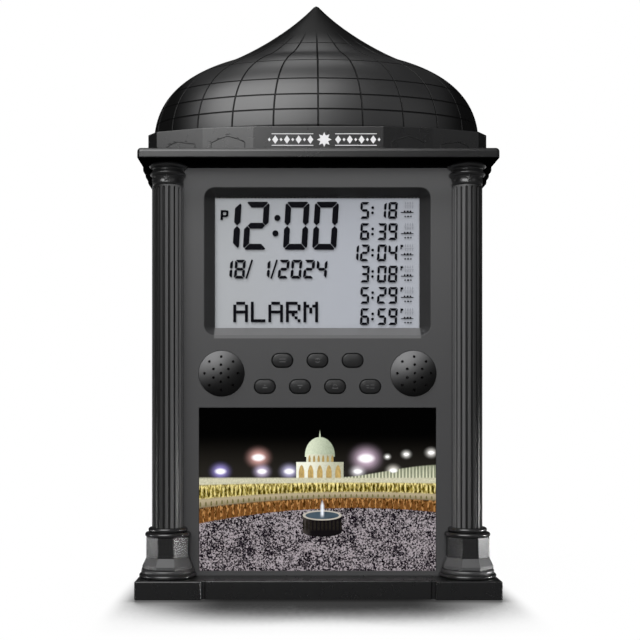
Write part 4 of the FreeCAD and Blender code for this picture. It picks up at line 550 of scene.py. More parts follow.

# %% Satin black, duller in the joints, with painted shade at the tip and the sides
def tiled_black(name):
    """Joints, found by height (rings) and angle (uprights), lose their gloss; painted shade dulls the tip and
    sides.
    """
    sheet = Sheet(name)
    x, y, z = sheet.xyz()
    across, ahead = x * FLAT, y / FLAT
    reach = (across ** 2 + ahead ** 2) ** 0.5
    turn = x.math("ARCTAN2", -ahead) / PITCH
    away = abs((turn + 0.5).math("FRACT") - 0.5) * reach * PITCH
    slope = np.gradient(outer_line[:, 1]) / np.maximum(np.hypot(*np.gradient(outer_line, axis=0).T), 1e-9)
    for seam, steep in zip(RING_SEAMS, np.interp(RING_SEAMS, outer_line[:, 1], slope)):
        away = away.math("MINIMUM", abs(z - (DRUM_TOP + seam)) / steep)
    joint = away.step(0.54, 0.40) * reach.step(20.0, 38.0)
    side_painted_shade = abs(sheet.parts(sheet.node("NewGeometry", output=1))[0]).step(0.40, 0.64)
    # painted shade: the tip and the sides turn to a dull near-black
    gloss = (1 - joint * 0.78) * (1 - side_painted_shade * 0.9) * (1 - reach.step(46.0, 20.0) * 0.75)
    broad, handled = sheet.noise(24, 4.0), sheet.noise(5, 5.0, rough=0.62)
    tone = sheet.mix(broad, (0.0115, 0.0115, 0.012), (0.0135, 0.0135, 0.0138))
    sheet.set(Base_Color=tone, Roughness=0.36 + (handled - 0.5) * 0.04, Specular_IOR_Level=0.8)
    unlit = sheet.node("BsdfDiffuse", {}, {"Color": (0.003, 0.003, 0.003)})
    sheet.blend(1 - gloss, sheet.shader, unlit)
    return sheet.relief(handled, 0.006)


settle(dome, tiled_black("dome_black"), "dome_black", "dome_shell")

# %% [markdown]
# ## Capitals with flowers, and the pedestals' bands
# Both are turned shapes, so their radius depends on the height. On a capital's bell three small flowers make
# it depend on the angle too. The back is planed off where the column stands against the panel and the
# shoulder beside it: each point that lies too far back is moved forward to that plane.

# %% Turned pieces on a column
PANEL_EDGE, PANEL_CLEAR = 69.9, 0.15


def turned_line(*runs):
    """Radius and height along a profile; a run is (r0, z0, r1, z1, bulge), and bulge bows it outwards."""
    parts = []
    for r0, z0, r1, z1, bulge in runs:
        t = np.linspace(0, 1, 9 if bulge else 2)
        swell = bulge * np.sin(math.pi * t) ** 0.8
        parts.append(np.stack([r0 + (r1 - r0) * t + swell, z0 + (z1 - z0) * t], 1))
    return np.concatenate(parts)


def column_piece(name, carrier, reach, heights, turn, material, *replaced):
    """A turned piece on the axis of a column, with its heights from the foot of the node that carries it."""
    side = carrier.rsplit("_", 1)[1]
    low, high = corners_mm(carrier)
    centre = sum(corners_mm("column_shaft_" + side)) / 2
    points = upright(reach, low[2] + heights, turn, centre=centre)
    limit = np.where(np.abs(points[..., 0]) < PANEL_EDGE, PANEL_FACE - PANEL_CLEAR, high[1])
    points[..., 1] = np.minimum(points[..., 1], limit)
    settle(grid_piece(name + side, points), material, "case_black", *replaced)


# %% Capitals and bands
FLOWER_TURNS, FLOWER_RADIUS, FLOWER_HEIGHT = (-1.15, 0.0, 1.15), 1.75, 2.95


def bell():
    """Bell, neck and abacus; a flower's edge is its radius times 0.72 + 0.28 cos of five times the angle."""
    line = turned_line((0, 0, 7.3, 0, 0), (7.3, 0, 7.9, 1.2, 0), (7.9, 1.2, 8.0, 4.7, -0.35),
                       (8.1, 4.7, 8.1, 7.3, 1.1), (8.1, 7.3, 8.1, 8.8, -0.3), (8.4, 8.8, 8.4, 11.4, 1.3))
    extra = np.linspace(1.25, 4.65, 18)
    radii = np.concatenate([line[:, 0], np.interp(extra, line[:, 1], line[:, 0])])
    heights = np.concatenate([line[:, 1], extra])
    order = np.argsort(heights, kind="stable")
    radii, heights = radii[order, None], heights[order, None]
    turn = np.linspace(-math.pi, math.pi, 264, endpoint=False)
    reach = radii + 0 * turn
    for middle in FLOWER_TURNS:
        across, up = (turn - middle) * 8.0, heights - FLOWER_HEIGHT
        way, round_it = np.hypot(across, up), np.arctan2(up, across)
        petals = FLOWER_RADIUS * (0.72 + 0.28 * np.cos(5 * round_it - math.pi / 2))
        reach += 0.42 * np.clip(1 - way / petals, 0, 1) ** 0.45 - 0.20 * np.clip(1 - way / 0.35, 0, 1)
    return reach, heights, turn


band_line = turned_line((0, 1.9, 13.2, 1.9, 0), (13.2, 1.9, 13.2, 4.3, 0.45))
band_turn = np.linspace(0, 2 * math.pi, 120, endpoint=False)
for side in ("left", "right"):
    column_piece("capital_", "column_capital_" + side, *bell(), turned_black, "column_capital_" + side)
    column_piece("pedestal_band_", "column_pedestal_" + side, band_line[:, :1], band_line[:, 1:], band_turn,
                 band_black)

# %% [markdown]
# ## Crowned keys on rubber domes
# A key is a small oval with a crowned top and a rounded rim, and a flange behind the panel that keeps it in.
# An oval is a straight line swept by a circle, so every row is that line offset by a distance. A line of no
# length gives a circle: the hollow silicone cone that a key stands on.

# %% Ovals that face the front
def facing_piece(name, centre, rows, middle=0.0, count=20, smooth=True):
    """Rows of (offset, depth) carried round a level line of half length middle."""
    half = np.linspace(-math.pi / 2, math.pi / 2, count)
    turn, end = np.concatenate([half, half + math.pi]), np.repeat([middle, -middle], count)
    offset, depth = np.array(rows).T[..., None]
    x, z = centre[0] + end + offset * np.cos(turn), centre[2] + offset * np.sin(turn)
    points = np.stack([x, depth + 0 * turn, z], -1) * MM
    return new_piece(name, points.reshape(-1, 3), grid_faces(len(rows), 2 * count), smooth)


# %% Keys
FLANGE, RIM, CROWN = 1.1, 0.75, 0.28


def key_cap(number):
    """Crown with a shallow arc, rounded rim, side, then the flange's front and back."""
    low, high = corners_mm("key_button_%d" % number)
    front, back = low[1], high[1]
    half_x, _, half_z = (high - low) / 2 - FLANGE
    flat = half_z - RIM
    rows = [(o, front + CROWN * (o / flat) ** 2) for o in np.linspace(0, flat, 9)]
    rows += [(flat + RIM * math.sin(a), front + CROWN + RIM * (1 - math.cos(a)))
             for a in np.linspace(0, math.pi / 2, 7)[1:]]
    rows += [(half_z, back - 0.95), (half_z + 0.1, back - 0.9), (half_z + 1.0, back - 0.9),
             (half_z + FLANGE, back - 0.8), (half_z + FLANGE, back - 0.1), (half_z + 1.0, back), (0.0, back)]
    cap = facing_piece("key_cap_%d" % number, (low + high) / 2, rows, half_x - half_z)
    settle(cap, key_black, "key_black", "key_button_%d" % number, body="key_%d" % number)


for number in range(1, 8):
    key_cap(number)

# %% Rubber domes under the keys
KEY_TRAVEL, DOME_WALL = 0.9, 0.55
TOP_RADIUS, FOOT_RADIUS = 2.3, 3.4


def rubber_dome(number):
    """A hollow cone: its rows (radius, depth) go down the outside and up the inside."""
    low, high = corners_mm("key_dome_%d" % number)
    centre, front, back = (low + high) / 2, low[1], high[1]
    rows = [(0, front), (TOP_RADIUS, front), (FOOT_RADIUS, back), (FOOT_RADIUS - DOME_WALL, back),
            (TOP_RADIUS - DOME_WALL, front + DOME_WALL), (0, front + DOME_WALL)]
    dome = facing_piece("rubber_dome_%d" % number, centre, rows, count=17, smooth=False)
    settle(dome, silicone, "silicone", "key_dome_%d" % number)
    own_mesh(dome)


for number in range(1, 8):
    rubber_dome(number)

# %% [markdown]
# ## Flat marks: figures, signs and ornaments
# Display figures, key signs and the ornament on the drum are all thin flat shapes. One function turns a
# list of outlines into closed plates, so that a figure, a dot or a star differs only in its outline.

# %% Plates from outlines
def plates(name, outlines, front, back):
    """Closed plates facing the front: each outline (x, z in mm) gets a front and a back face and its sides."""
    points, faces, first = [], [], 0
    for line in outlines:
        line = np.asarray(line, float)
        count = len(line)
        ring = first + np.arange(count)
        after = np.roll(ring, -1)
        points += [np.stack([line[:, 0], np.full(count, y), line[:, 1]], 1) for y in (front, back)]
        faces += [ring.tolist(), (count + ring[::-1]).tolist()]
        faces += np.stack([ring, ring + count, after + count, after], 1).tolist()
        first += 2 * count
    return new_piece(name, np.concatenate(points) * MM, faces, smooth=False)


def bar(start, end, width, point=0.0):
    """A bar between two points; a positive point sharpens both its ends into a hexagon."""
    start, end = np.array(start, float), np.array(end, float)
    along = (end - start) / np.linalg.norm(end - start)
    side, tip = np.array([-along[1], along[0]]) * width / 2, along * point
    corners = [start + side + tip, start, start - side + tip, end - side - tip, end, end + side - tip]
    return np.array(corners) if point else np.array(corners)[[0, 2, 3, 5]]


def rule(left, right, height, width):
    """A level bar."""
    return bar((left, height), (right, height), width)


def disc(centre, radius, count=20):
    """A round dot."""
    turn = np.linspace(0, 2 * math.pi, count, endpoint=False)
    return np.array(centre) + radius * np.stack([np.cos(turn), np.sin(turn)], 1)


print("flat marks are ready")

# %% Seven-segment figures
LIT = {"0": "abcdef", "1": "bc", "2": "abged", "3": "abgcd", "4": "fgbc", "5": "afgcd", "6": "afgecd",
       "7": "abc", "8": "abcdefg", "9": "abcdfg"}


def segments(w, h, t, gap):
    """Outlines of seven segments t thick in a box w by h, with bevelled corners and thin mitred gaps."""
    m, c, g = h / 2, t * 0.45, gap / 2
    top = np.array([(c, h), (w - c, h), (w - c * 0.55 - g, h - c * 0.45), (w - t - g, h - t), (t + g, h - t),
                    (c * 0.55 + g, h - c * 0.45)])
    right = np.array([(w, h - c - g), (w - c * 0.5, h - c * 0.5 - g), (w - t, h - t - g),
                      (w - t, m + t / 2 + g), (w - t / 2, m + g), (w, m + t / 2 + g)])
    middle = np.array([(t / 2 + g, m), (t + g, m + t / 2), (w - t - g, m + t / 2), (w - t / 2 - g, m),
                       (w - t - g, m - t / 2), (t + g, m - t / 2)])
    left = right * [-1, 1] + [w, 0]
    lower = [line * [1, -1] + [0, h] for line in (right, top, left)]
    return dict(zip("abcdefg", [top, right, *lower, left, middle]))


def figures(text, left, base, thick, width, height, pitch, slant, gap):
    """Outlines of a row of slanted figures, one cell each; a space leaves its cell empty."""
    shapes = segments(width, height, thick, gap)
    lines = [shapes[key] + [left + place * pitch, 0] for place, figure in enumerate(text)
             for key in LIT.get(figure, "")]
    return [np.stack([line[:, 0] + line[:, 1] * slant, base + line[:, 1]], 1) for line in lines]


print("segments of an 8:", len(figures("8", 0, 0, 1.0, 5.0, 9.0, 6.0, 0.0, 0.2)))

# %% [markdown]
# ## What the display shows
# The display has the hour in tall figures, the date below, a word in square dots, and six times in a column
# at the right, each with small marks beside it. The figures lie inside the glass, a millimetre in front of
# its pale reflector, so they throw the faint shadow that makes such displays look deep.

# %% Time, date and the column of times
HOUR, HOUR_BASE = (12.6, 25.1, 15.3, 0.06, 0.35), 179.8
DATE, DATE_BASE = (5.6, 9.8, 6.63, 0.08, 0.28), 164.7
TIMES = (" 518", " 639", "1204", " 308", " 529", " 659")
TOP_TIME, TIME_PITCH = 196.0, 11.12

time_marks = [disc((-20.8, 196.4), 1.6), disc((-21.85, 188.35), 1.6)]
for text, left, thick in (("1", -53.6, 3.3), ("2", -38.9, 3.05), ("00", -17.95, 3.05)):
    time_marks += figures(text, left, HOUR_BASE, thick, *HOUR)
date_marks = [bar((left, DATE_BASE), (left + 3.1, DATE_BASE + 9.8), 0.95) for left in (-37.1, -24.1)]
for text, left in (("18", -50.3), ("1", -30.7), ("2024", -20.7)):
    date_marks += figures(text, left, DATE_BASE, 1.45, *DATE)
hour_marks = []
for row, time in enumerate(TIMES):
    base = TOP_TIME - TIME_PITCH * row
    hour_marks += figures(time[:2], 16.75, base, 1.25, 4.75, 8.75, 5.55, 0.06, 0.22)
    hour_marks += figures(time[2:], 31.2, base, 1.25, 4.75, 8.75, 5.75, 0.06, 0.22)
    hour_marks += [disc((29.05, base + 5.8), 0.72, 14), disc((28.95, base + 3.1), 0.72, 14)]
print("outlines:", len(time_marks), len(date_marks), len(hour_marks))

# %% A word in square dots, and the small marks
LETTERS = {"A": ("01110", "10001", "10001", "11111", "10001", "10001", "10001"),
           "L": ("10000", "10000", "10000", "10000", "10000", "10000", "11111"),
           "R": ("11110", "10001", "10001", "11110", "10100", "10010", "10001"),
           "M": ("10001", "11011", "10101", "10101", "10001", "10001", "10001")}
DOT, WORD_CORNER = 1.53, (-43.9, 152.55)


def dot_word(word):
    """A square plate for each lit dot of its letters, which are 5 by 7 dots and 6 dots apart."""
    lit = [(6 * place + column, -row) for place, letter in enumerate(word)
           for row, cells in enumerate(LETTERS[letter]) for column, cell in enumerate(cells) if cell == "1"]
    return [(np.array([(0, 0), (0, -1), (1, -1), (1, 0)]) + dot) * DOT + WORD_CORNER for dot in lit]


x, z, top = -49.7, 195.3, 200.5
small = [bar((x - 0.3, z), (x - 0.1, top), 1.3), rule(x, x + 2.3, top - 0.55, 1.1),
         rule(x, x + 2.3, z + 2.08, 1.1), bar((x + 2.6, z + 1.768), (x + 2.7, top - 0.1), 1.2, 0.35)]
pale = []
for row in range(len(TIMES)):
    top = 205.2 - TIME_PITCH * row
    for left, width in ((45.4, 0.8), (46.8, 1.1), (48.4, 0.8)):
        small += [rule(left, left + width, top - 5.4, 0.9),
                  rule(left + 0.3, left + width + 0.2, top - 8.0, 0.75)]
    small.append(rule(43.8, 50.4, top - 5.9, 0.42))
    if row > 1:
        small += [bar((43.9, top - 0.6), (43.9, top - 2.9), 0.6), disc((44.5, top - 1.2), 0.62, 10)]
    for x in 46.2 + 1.25 * np.arange(4):
        pale += [bar((x, top - 0.4), (x, top - 1.7), 0.35), rule(x - 0.4, x + 0.5, top - 2.5, 0.3),
                 bar((x, top - 2.9), (x, top - 3.7), 0.3)]
print("small marks:", len(small), "pale ones:", len(pale))

# %% [markdown]
# ## Display finishes
# The figures are dark crystal, the ground is a pale grey reflector behind a polariser, which also glows a
# little as painted light, and the front is coated glass. Real glass would bend light and need many bounces; a
# thin sheet of it is drawn more simply as clear, with a mirror on top whose share grows at a slant, as it does
# on any gloss.

# %% Ink, reflector and glass
def crystal(name, colour):
    """Dark crystal: its tone wanders a little, as a driven cell does."""
    sheet = Sheet(name)
    sheet.set(Base_Color=sheet.mix(sheet.noise(3), colour, [c * 1.5 for c in colour]), Roughness=0.5)
    return sheet.set(Specular_IOR_Level=0.0).material


def reflector(name):
    """Pale ground, neutral on the left and bluish on the right, with the polariser's very fine fibre and a
    faint glow.
    """
    sheet = Sheet(name)
    fibre = sheet.noise(0.25, 1.0)
    ground = sheet.mix(sheet.xyz()[0].step(-50.0, 20.0), (0.318, 0.322, 0.326), (0.322, 0.330, 0.358))
    pale = sheet.mix(fibre * 0.5, ground, (0.385, 0.393, 0.415))
    sheet.set(Base_Color=pale, Roughness=0.55, Specular_IOR_Level=0.0)
    # painted light: the ground glows a little by itself to look brighter
    sheet.set(Emission_Color=pale, Emission_Strength=0.22)
    return sheet.relief(fibre, 0.01)


def clear_glass(name):
    """Clear, mixed with a mirror by the slant to the fifth power; a faint anti-glare grain breaks its gloss."""
    sheet = Sheet(name)
    clear = sheet.node("BsdfTransparent", {}, {"Color": (0.97, 0.975, 0.98)})
    sheet.set(Base_Color=(0.95, 0.95, 0.97), Metallic=1.0, Roughness=0.12 + sheet.noise(0.4) * 0.08)
    slant = sheet.node("LayerWeight", {}, {"Blend": 0.5}, 1)
    sheet.blend(slant ** 5 * 0.9 + 0.012, clear, sheet.shader)
    return sheet.material


INK_DEPTHS = glass_low[1] + 1.1, glass_low[1] + 1.2
ink = crystal("display_ink", (0.0035, 0.0035, 0.005))
faint = crystal("display_faint_ink", (0.20, 0.205, 0.22))
reflector("display_reflector")
for name, outlines in {"time": time_marks, "date": date_marks, "hours": hour_marks, "word": dot_word("ALARM"),
                       "marks": small, "faint_marks": pale}.items():
    settle(plates("display_" + name, outlines, *INK_DEPTHS), faint if outlines is pale else ink, "lcd_glass")
edge = [(glass_low[0], glass_low[2]), (glass_high[0], glass_low[2]), (glass_high[0], glass_high[2]),
        (glass_low[0], glass_high[2])]
pane = plates("display_pane", [edge], glass_low[1], glass_high[1] - 0.08)
settle(pane, clear_glass("display_glass"), "lcd_glass", "lcd_glass")

# %% [markdown]
# ## Signs on the keys
# The keys carry small signs, moulded a hair proud in a slightly lighter tone: bars, a clock, arrows and a
# ring. They are plates like the display's figures, and ride on their own key.

# %% Key signs
def ring_mark(centre, radius, width):
    """A ring drawn as two half rings, each an outline out along one arc and back along the other."""
    turn = np.linspace(0, math.pi, 12)
    circle = np.stack([np.cos(turn), np.sin(turn)], 1)
    half = np.concatenate([circle * radius, circle[::-1] * (radius - width)])
    return [half + centre, -half + centre]


KEY_SIGNS = {
    1: [rule(-1.6, 1.6, height, 0.32) for height in (0.7, 0, -0.7)],
    2: ring_mark((0, 0), 1.25, 0.32) + [bar((0, 0), (0, 0.85), 0.3), rule(0, 0.6, 0, 0.3)],
    3: [rule(-1.7, 1.7, 0, 0.34)],
    4: [np.array([(-1.4, -0.8), (1.4, -0.8), (0, 1.1)])],
    5: [np.array([(-1.4, 0.8), (0, -1.1), (1.4, 0.8)])],
    6: [rule(-1.5, 1.5, -0.9, 0.34), bar((-1.2, -0.9), (-0.7, 0.9), 0.34), bar((1.2, -0.9), (0.7, 0.9), 0.34),
        rule(-0.8, 0.8, 0.9, 0.34)],
    7: ring_mark((-1.3, 0), 0.8, 0.3) + [rule(0.2, 2.1, height, 0.3) for height in (0.8, 0, -0.8)]}
key_sign = plastic("key_sign", (0.070, 0.070, 0.072), 0.5, grain=0.2, depth=0.004, edge=0.0)
for number, outlines in KEY_SIGNS.items():
    low, high = corners_mm("key_button_%d" % number)
    outlines = [line + (low + high)[[0, 2]] / 2 for line in outlines]
    sign = plates("key_sign_%d" % number, outlines, low[1] + 0.005, low[1] + 0.5)
    settle(sign, key_sign, "key_black", body="key_%d" % number)

# %% [markdown]
# ## Ornament on the drum
# Each turned face of the drum has a fine engraved arch, and the middle face carries a pale printed band. A
# fine line is a thin tube swept along a path and sunk until it barely shows; the band is a row of lozenges
# and thin rules on both sides of an eight-pointed star.

# %% Paths of the engraved arches
FACE_TURNS, FACE_WIDTH, FACE_FOOT = np.radians([7.0, 19.0]), 25.8, drum_low[2] + 1.0
MIDDLE_HALF = drum_high[0] - FACE_WIDTH * np.cos(FACE_TURNS).sum() - 9.0 * math.cos(math.radians(55.0))
ARCHES = (
    [[(-8.6, 0.0), (-8.6, 3.4), (-5.0, 5.2), (0, 6.7), (5.2, 5.0), (8.3, 3.6), (8.7, 3.3), (8.7, 0.0)],
     [(-9.6, 4.1), (-9.0, 4.3), (-8.6, 3.6)], [(-5.6, 5.6), (-5.0, 5.9), (-4.6, 5.3)],
     [(-1.1, 7.4), (0.2, 7.6), (1.0, 7.9)], [(4.6, 5.4), (5.0, 6.0), (5.6, 5.2)],
     [(6.6, 4.5), (7.4, 4.6), (8.7, 3.3)]],
    [[(-9.6, 0.4), (-7.0, 2.9), (-4.6, 4.2), (-1.0, 5.2), (2.4, 4.4), (8.6, 3.4), (8.6, 0.2)],
     [(-9.2, 1.5), (-8.4, 2.0), (-8.2, 1.4)], [(-6.2, 4.2), (-5.2, 4.9), (-4.8, 4.3)],
     [(-3.4, 5.6), (-2.4, 5.4), (-2.0, 5.2)], [(3.0, 5.3), (3.8, 5.4), (4.2, 4.6)]])


def on_face(face, line, sign):
    """A broken line (u across from the face's middle, v up) on a turned face, 8 points to each of its runs."""
    line = np.array(line, float)
    t = np.linspace(0, len(line) - 1, (len(line) - 1) * 8 + 1)
    u, v = (np.interp(t, np.arange(len(line)), part) for part in line.T)
    turns, u = FACE_TURNS[:face + 1], FACE_WIDTH / 2 - u
    x = MIDDLE_HALF + FACE_WIDTH * np.cos(turns[:-1]).sum() + u * np.cos(turns[-1])
    y = drum_low[1] + FACE_WIDTH * np.sin(turns[:-1]).sum() + u * np.sin(turns[-1]) - 0.02
    return np.stack([sign * x, y, FACE_FOOT + v], 1)


print("arch lines on each side:", sum(len(lines) for lines in ARCHES))

# %% Engraved arches
def tube(path, radius, count=8):
    """A tube along a path: each ring is the path's point plus radius times two directions across it."""
    along = np.gradient(path, axis=0)
    along /= np.linalg.norm(along, axis=1, keepdims=True)
    across = np.cross(along, [0.0, 1.0, 0.0])
    across /= np.linalg.norm(across, axis=1, keepdims=True)
    turn = np.linspace(0, 2 * math.pi, count, endpoint=False)[None, :, None]
    outward = np.cross(along, across)
    return path[:, None] + radius * (np.cos(turn) * across[:, None] + np.sin(turn) * outward[:, None])


engraved = plastic("engraved_line", (0.006, 0.006, 0.006), 0.6, grain=0.2, depth=0.002, edge=0.0)
for sign, side in ((-1, "left"), (1, "right")):
    for face, lines in enumerate(ARCHES):
        for number, line in enumerate(lines):
            rings = tube(on_face(face, line, sign), 0.15 if number else 0.20)
            name = "drum_line_%s_%d_%d" % (side, face + 1, number + 1)
            settle(grid_piece(name, rings), engraved, "case_black")

# %% Printed band
def lozenge(x, half_x, half_z):
    """A lozenge standing on its corner, at the height of the band."""
    return np.array([(x + half_x, BAND_Z), (x, BAND_Z + half_z), (x - half_x, BAND_Z), (x, BAND_Z - half_z)])


BAND_X, BAND_Z = 3.0, FACE_FOOT + 4.6
turn = np.arange(16) * math.pi / 8 + math.pi / 2
reach = np.where(np.arange(16) % 2, 2.1, 3.7)
band = [np.stack([reach * np.cos(turn), reach * np.sin(turn)], 1) + [BAND_X, BAND_Z]]
for sign in (-1, 1):
    for x in BAND_X + sign * (7.0 + 5.9 * np.arange(4)):
        band += [lozenge(x, 1.5, 2.1), lozenge(x + sign * 2.95, 0.7, 0.9)]
    band += [rule(BAND_X + sign * 5.5, BAND_X + sign * 26.5, BAND_Z + up, 0.35) for up in (-2.9, 2.9)]
pale_print = plastic("pale_print", (0.62, 0.62, 0.63), 0.45, grain=0.3, depth=0.003, edge=0.0)
settle(plates("drum_printed_band", band, drum_low[1] - 0.04, drum_low[1] + 0.1), pale_print, "case_black")

# %% [markdown]
# ## The printed picture
# The plate shows a court at night: black sky with lamps, a domed hall and long arcades in lamplight, and a
# crowd of pale specks round a stone basin. Nothing in it needs a picture file. Each part of the view is a
# mask, a formula of the place on the plate, and each mask lays its colour over the last.

# %% Lamps and masks of the print
LAMPS = ((-0.82, 0.22, 0.80, (0.50, 0.42, 1.00)), (-0.50, 0.39, 0.95, (1.00, 0.55, 0.50)),
         (-0.47, 0.22, 0.70, (0.85, 0.72, 1.00)), (-0.24, 0.22, 0.75, (0.72, 0.68, 1.00)),
         (0.34, 0.22, 0.65, (0.95, 0.90, 0.95)), (0.41, 0.38, 1.20, (0.95, 0.72, 0.90)),
         (0.64, 0.23, 0.60, (1.00, 0.95, 0.85)), (0.59, 0.40, 0.30, (1.00, 1.00, 0.95)),
         (0.75, 0.43, 0.42, (1.00, 1.00, 0.95)), (0.96, 0.45, 0.50, (1.00, 0.97, 0.92)))


def band_mask(value, low, high, soft=0.03):
    """1 between two values, with soft edges."""
    return value.step(low - soft, low + soft) * value.step(high + soft, high - soft)


def arcade(across, value, count, low, spring, high, share):
    """Pointed arches in a row, open where the way to the arch's middle is less than its half width."""
    cell = abs((across * (count / 2) + 100.25).math("FRACT") - 0.5) * 2
    narrowing = ((high - value) / (high - spring)).math("MINIMUM", 1.0).math("MAXIMUM", 0.0)
    return band_mask(value, low, high, 0.02) * (share * narrowing ** 0.5 - cell).step(-0.06, 0.06)


print("lamps on the print:", len(LAMPS))

# %% Print by formula
def night_court(name, low, high):
    """u and v run from -1 to 1 over the plate, q from 0 at the court's edge to 1 at the top of the walls."""
    sheet = Sheet(name)
    x, _, z = sheet.xyz()
    u, v = (x * 2 - (low + high)[0]) / (high - low)[0], (z * 2 - (low + high)[2]) / (high - low)[2]
    edge = u * 0.07 - u * u * 0.11 - 0.24
    q = (v - edge) / (0.14 - edge)
    specks, patches = sheet.noise(0.78, 2.0, rough=0.75), sheet.noise(7, 4.0)
    stretched = sheet.node("Mapping", {}, {"Vector": sheet.place, "Scale": (1.0, 1.0, 0.35)})
    streaks = sheet.noise(0.9, 3.0, stretched, 0.6)
    # the domed hall in the middle: dome, drum with windows, front with a tall doorway
    across, shade = abs(u - 0.02), (u - 0.02).step(0.20, -0.16) * 0.65 + specks * 0.35
    dome = ((across / 0.125) ** 2 + ((v - 0.42) / 0.22) ** 2).step(1.05, 0.97) * (v > 0.40)
    finial = (across + (v - 0.62).math("MAXIMUM", 0.0) * 0.10).step(0.013, 0.008)
    finial = finial * band_mask(v, 0.60, 0.73, 0.005)
    hall = (across < 0.115) * band_mask(v, 0.33, 0.43, 0.004)
    hall_front = (across < 0.20) * band_mask(v, 0.06, 0.335, 0.004)
    far_wall = band_mask(v, 0.10, (u - 0.15).step(-0.05, 0.9) * 0.16 + 0.14, 0.01) * (u > 0.2)
    # the stone basin: two ovals for its rim and foot, and the wall between them
    basin_u = (u - 0.04) / 0.165
    rim, foot = ((basin_u ** 2 + ((v + middle) / 0.062) ** 2).step(1.03, 0.98) for middle in (0.32, 0.52))
    side = (band_mask(v, -0.52, -0.32, 0.004) * (abs(basin_u) < 1.0)).math("MAXIMUM", foot)
    water = ((basin_u / 0.86) ** 2 + ((v + 0.32) / 0.046) ** 2).step(1.04, 0.96)
    jet = (abs(basin_u) * 3.0 + (v + 0.20).math("MAXIMUM", 0.0) * 4.0).step(0.42, 0.0)
    # each layer: where it lies, its dark and its pale tone, and the pattern that goes from one to the other
    layers = (
        (far_wall, (0.10, 0.12, 0.07), (0.78, 0.78, 0.58),
         arcade(u, v, 70, -1.0, 0.10, 0.30, 0.5) * 0.6 + streaks * 0.4),
        (dome.math("MAXIMUM", finial), (0.12, 0.16, 0.10), (0.80, 0.86, 0.66), shade),
        (hall, (0.16, 0.17, 0.10), (0.86, 0.86, 0.68), shade),
        (hall * arcade(u, v, 52, 0.33, 0.38, 0.42, 0.5), (0.06, 0.05, 0.02), (0.70, 0.48, 0.16), streaks),
        (hall_front, (0.30, 0.30, 0.20), (0.94, 0.94, 0.80), shade),
        (hall_front * arcade(u, v, 26, 0.0, 0.22, 0.30, 0.62), (0.05, 0.04, 0.02), (0.85, 0.58, 0.20),
         streaks),
        (band_mask(q, 0.83, 1.0), (0.30, 0.28, 0.18), (0.80, 0.78, 0.60), specks),
        (band_mask(q, 0.52, 0.84), (0.16, 0.11, 0.01), (0.86, 0.74, 0.30), streaks.step(0.36, 0.64)),
        (arcade(u, q, 56, 0.55, 0.68, 0.80, 0.60), (0.03, 0.02, 0.0), (0.42, 0.33, 0.07),
         streaks.step(0.4, 0.7)),
        (band_mask(q, 0.33, 0.53), (0.15, 0.12, 0.06), (0.50, 0.42, 0.28),
         specks * 0.5 + q.step(0.33, 0.5) * 0.5),
        (arcade(u, q, 44, 0.36, 0.42, 0.47, 0.30), (0.08, 0.07, 0.02), (0.22, 0.19, 0.08), specks),
        (band_mask(q, 0.0, 0.33), (0.05, 0.018, 0.003), (0.52, 0.26, 0.085), streaks.step(0.40, 0.66)),
        (arcade(u, q, 40, -0.1, 0.14, 0.29, 0.62), (0.01, 0.005, 0.003), (0.30, 0.12, 0.03), specks),
        (q.step(0.01, -0.02), (0.008, 0.005, 0.009), (0.37, 0.33, 0.35),
         (specks + patches * 0.30 - 0.15).step(0.46, 0.58)),
        (side, (0.006, 0.005, 0.006), (0.10, 0.085, 0.075), (basin_u + specks * 0.5).step(-0.2, -1.2)),
        (side * arcade(u, v, 62, -0.50, -0.42, -0.37, 0.6), (0.0, 0.0, 0.0), (0.03, 0.025, 0.02), specks),
        (rim, (0.34, 0.31, 0.27), (0.62, 0.58, 0.50), specks),
        (water, (0.006, 0.012, 0.018), (0.10, 0.15, 0.19), patches))
    colour = sheet.mix(v.step(0.70, 0.12), (0.0006, 0.0006, 0.0006), (0.018, 0.016, 0.013))
    for lamp_u, lamp_v, size, tint in LAMPS:
        away = ((u - lamp_u) ** 2 * 1.5 + (v - lamp_v) ** 2) ** 0.5
        colour = sheet.mix(away.step(0.20 * size, 0.0) ** 2.0 * 0.80, colour, tint)
    for share, dark, pale, by in layers:
        colour = sheet.mix(share, colour, sheet.mix(by, dark, pale))
    colour = sheet.mix(jet * band_mask(v, -0.33, -0.12), colour, (0.80, 0.84, 0.90))
    for lamp_u, lamp_v, size, _ in LAMPS:
        core = (((u - lamp_u) * 0.8) ** 2 + (v - lamp_v) ** 2) ** 0.5
        colour = sheet.mix(core.step(0.060 * size, 0.022 * size), colour, (1.0, 0.98, 1.0))
    sheet.set(Base_Color=colour, Roughness=0.55 + patches * 0.06, Specular_IOR_Level=0.0)
    return sheet.relief(specks, 0.003, 0.2)


print("print nodes:", len(night_court("printed_picture", *corners_mm("picture_plate")).node_tree.nodes))

# %% [markdown]
# ## Finishes for the CAD's own pieces
# The plinth, columns, housings, caps and all that is inside keep their CAD shapes. Each gets the finish
# that its record slot names, or, for the shafts, pedestals and cornice, one of its own, so the inside looks
# right too when the battery door is open.

# %% Dress the remaining nodes
NAMED = {"backlight": "display_reflector", "lcd_glass": "display_glass", "print": "printed_picture"}
OWN = {"column_shaft": shaft_black, "column_pedestal": pedestal_black, "cornice": cornice_black}
for entry in frame["record"]["subparts"]:
    node, slot = entry["node"], entry["material_slot"]
    kind = node.removesuffix("_left").removesuffix("_right")
    for holder in frame["nodes"][node].material_slots:
        holder.material = OWN.get(kind, FINISHES[NAMED.get(slot, slot)])

# %% [markdown]
# ## Studio
# The clock stands on a white floor in front of white. A large soft light above and to the left models the
# dome and the caps, a weak one above and another at the right fill in, and two strips at the floor's height
# draw the bright facets of the pedestals. Four more, which gloss doesn't mirror, light the front, the back
# and both sides. Only rays from the camera or through glass see white all round, so black plastic mirrors
# a dim room.

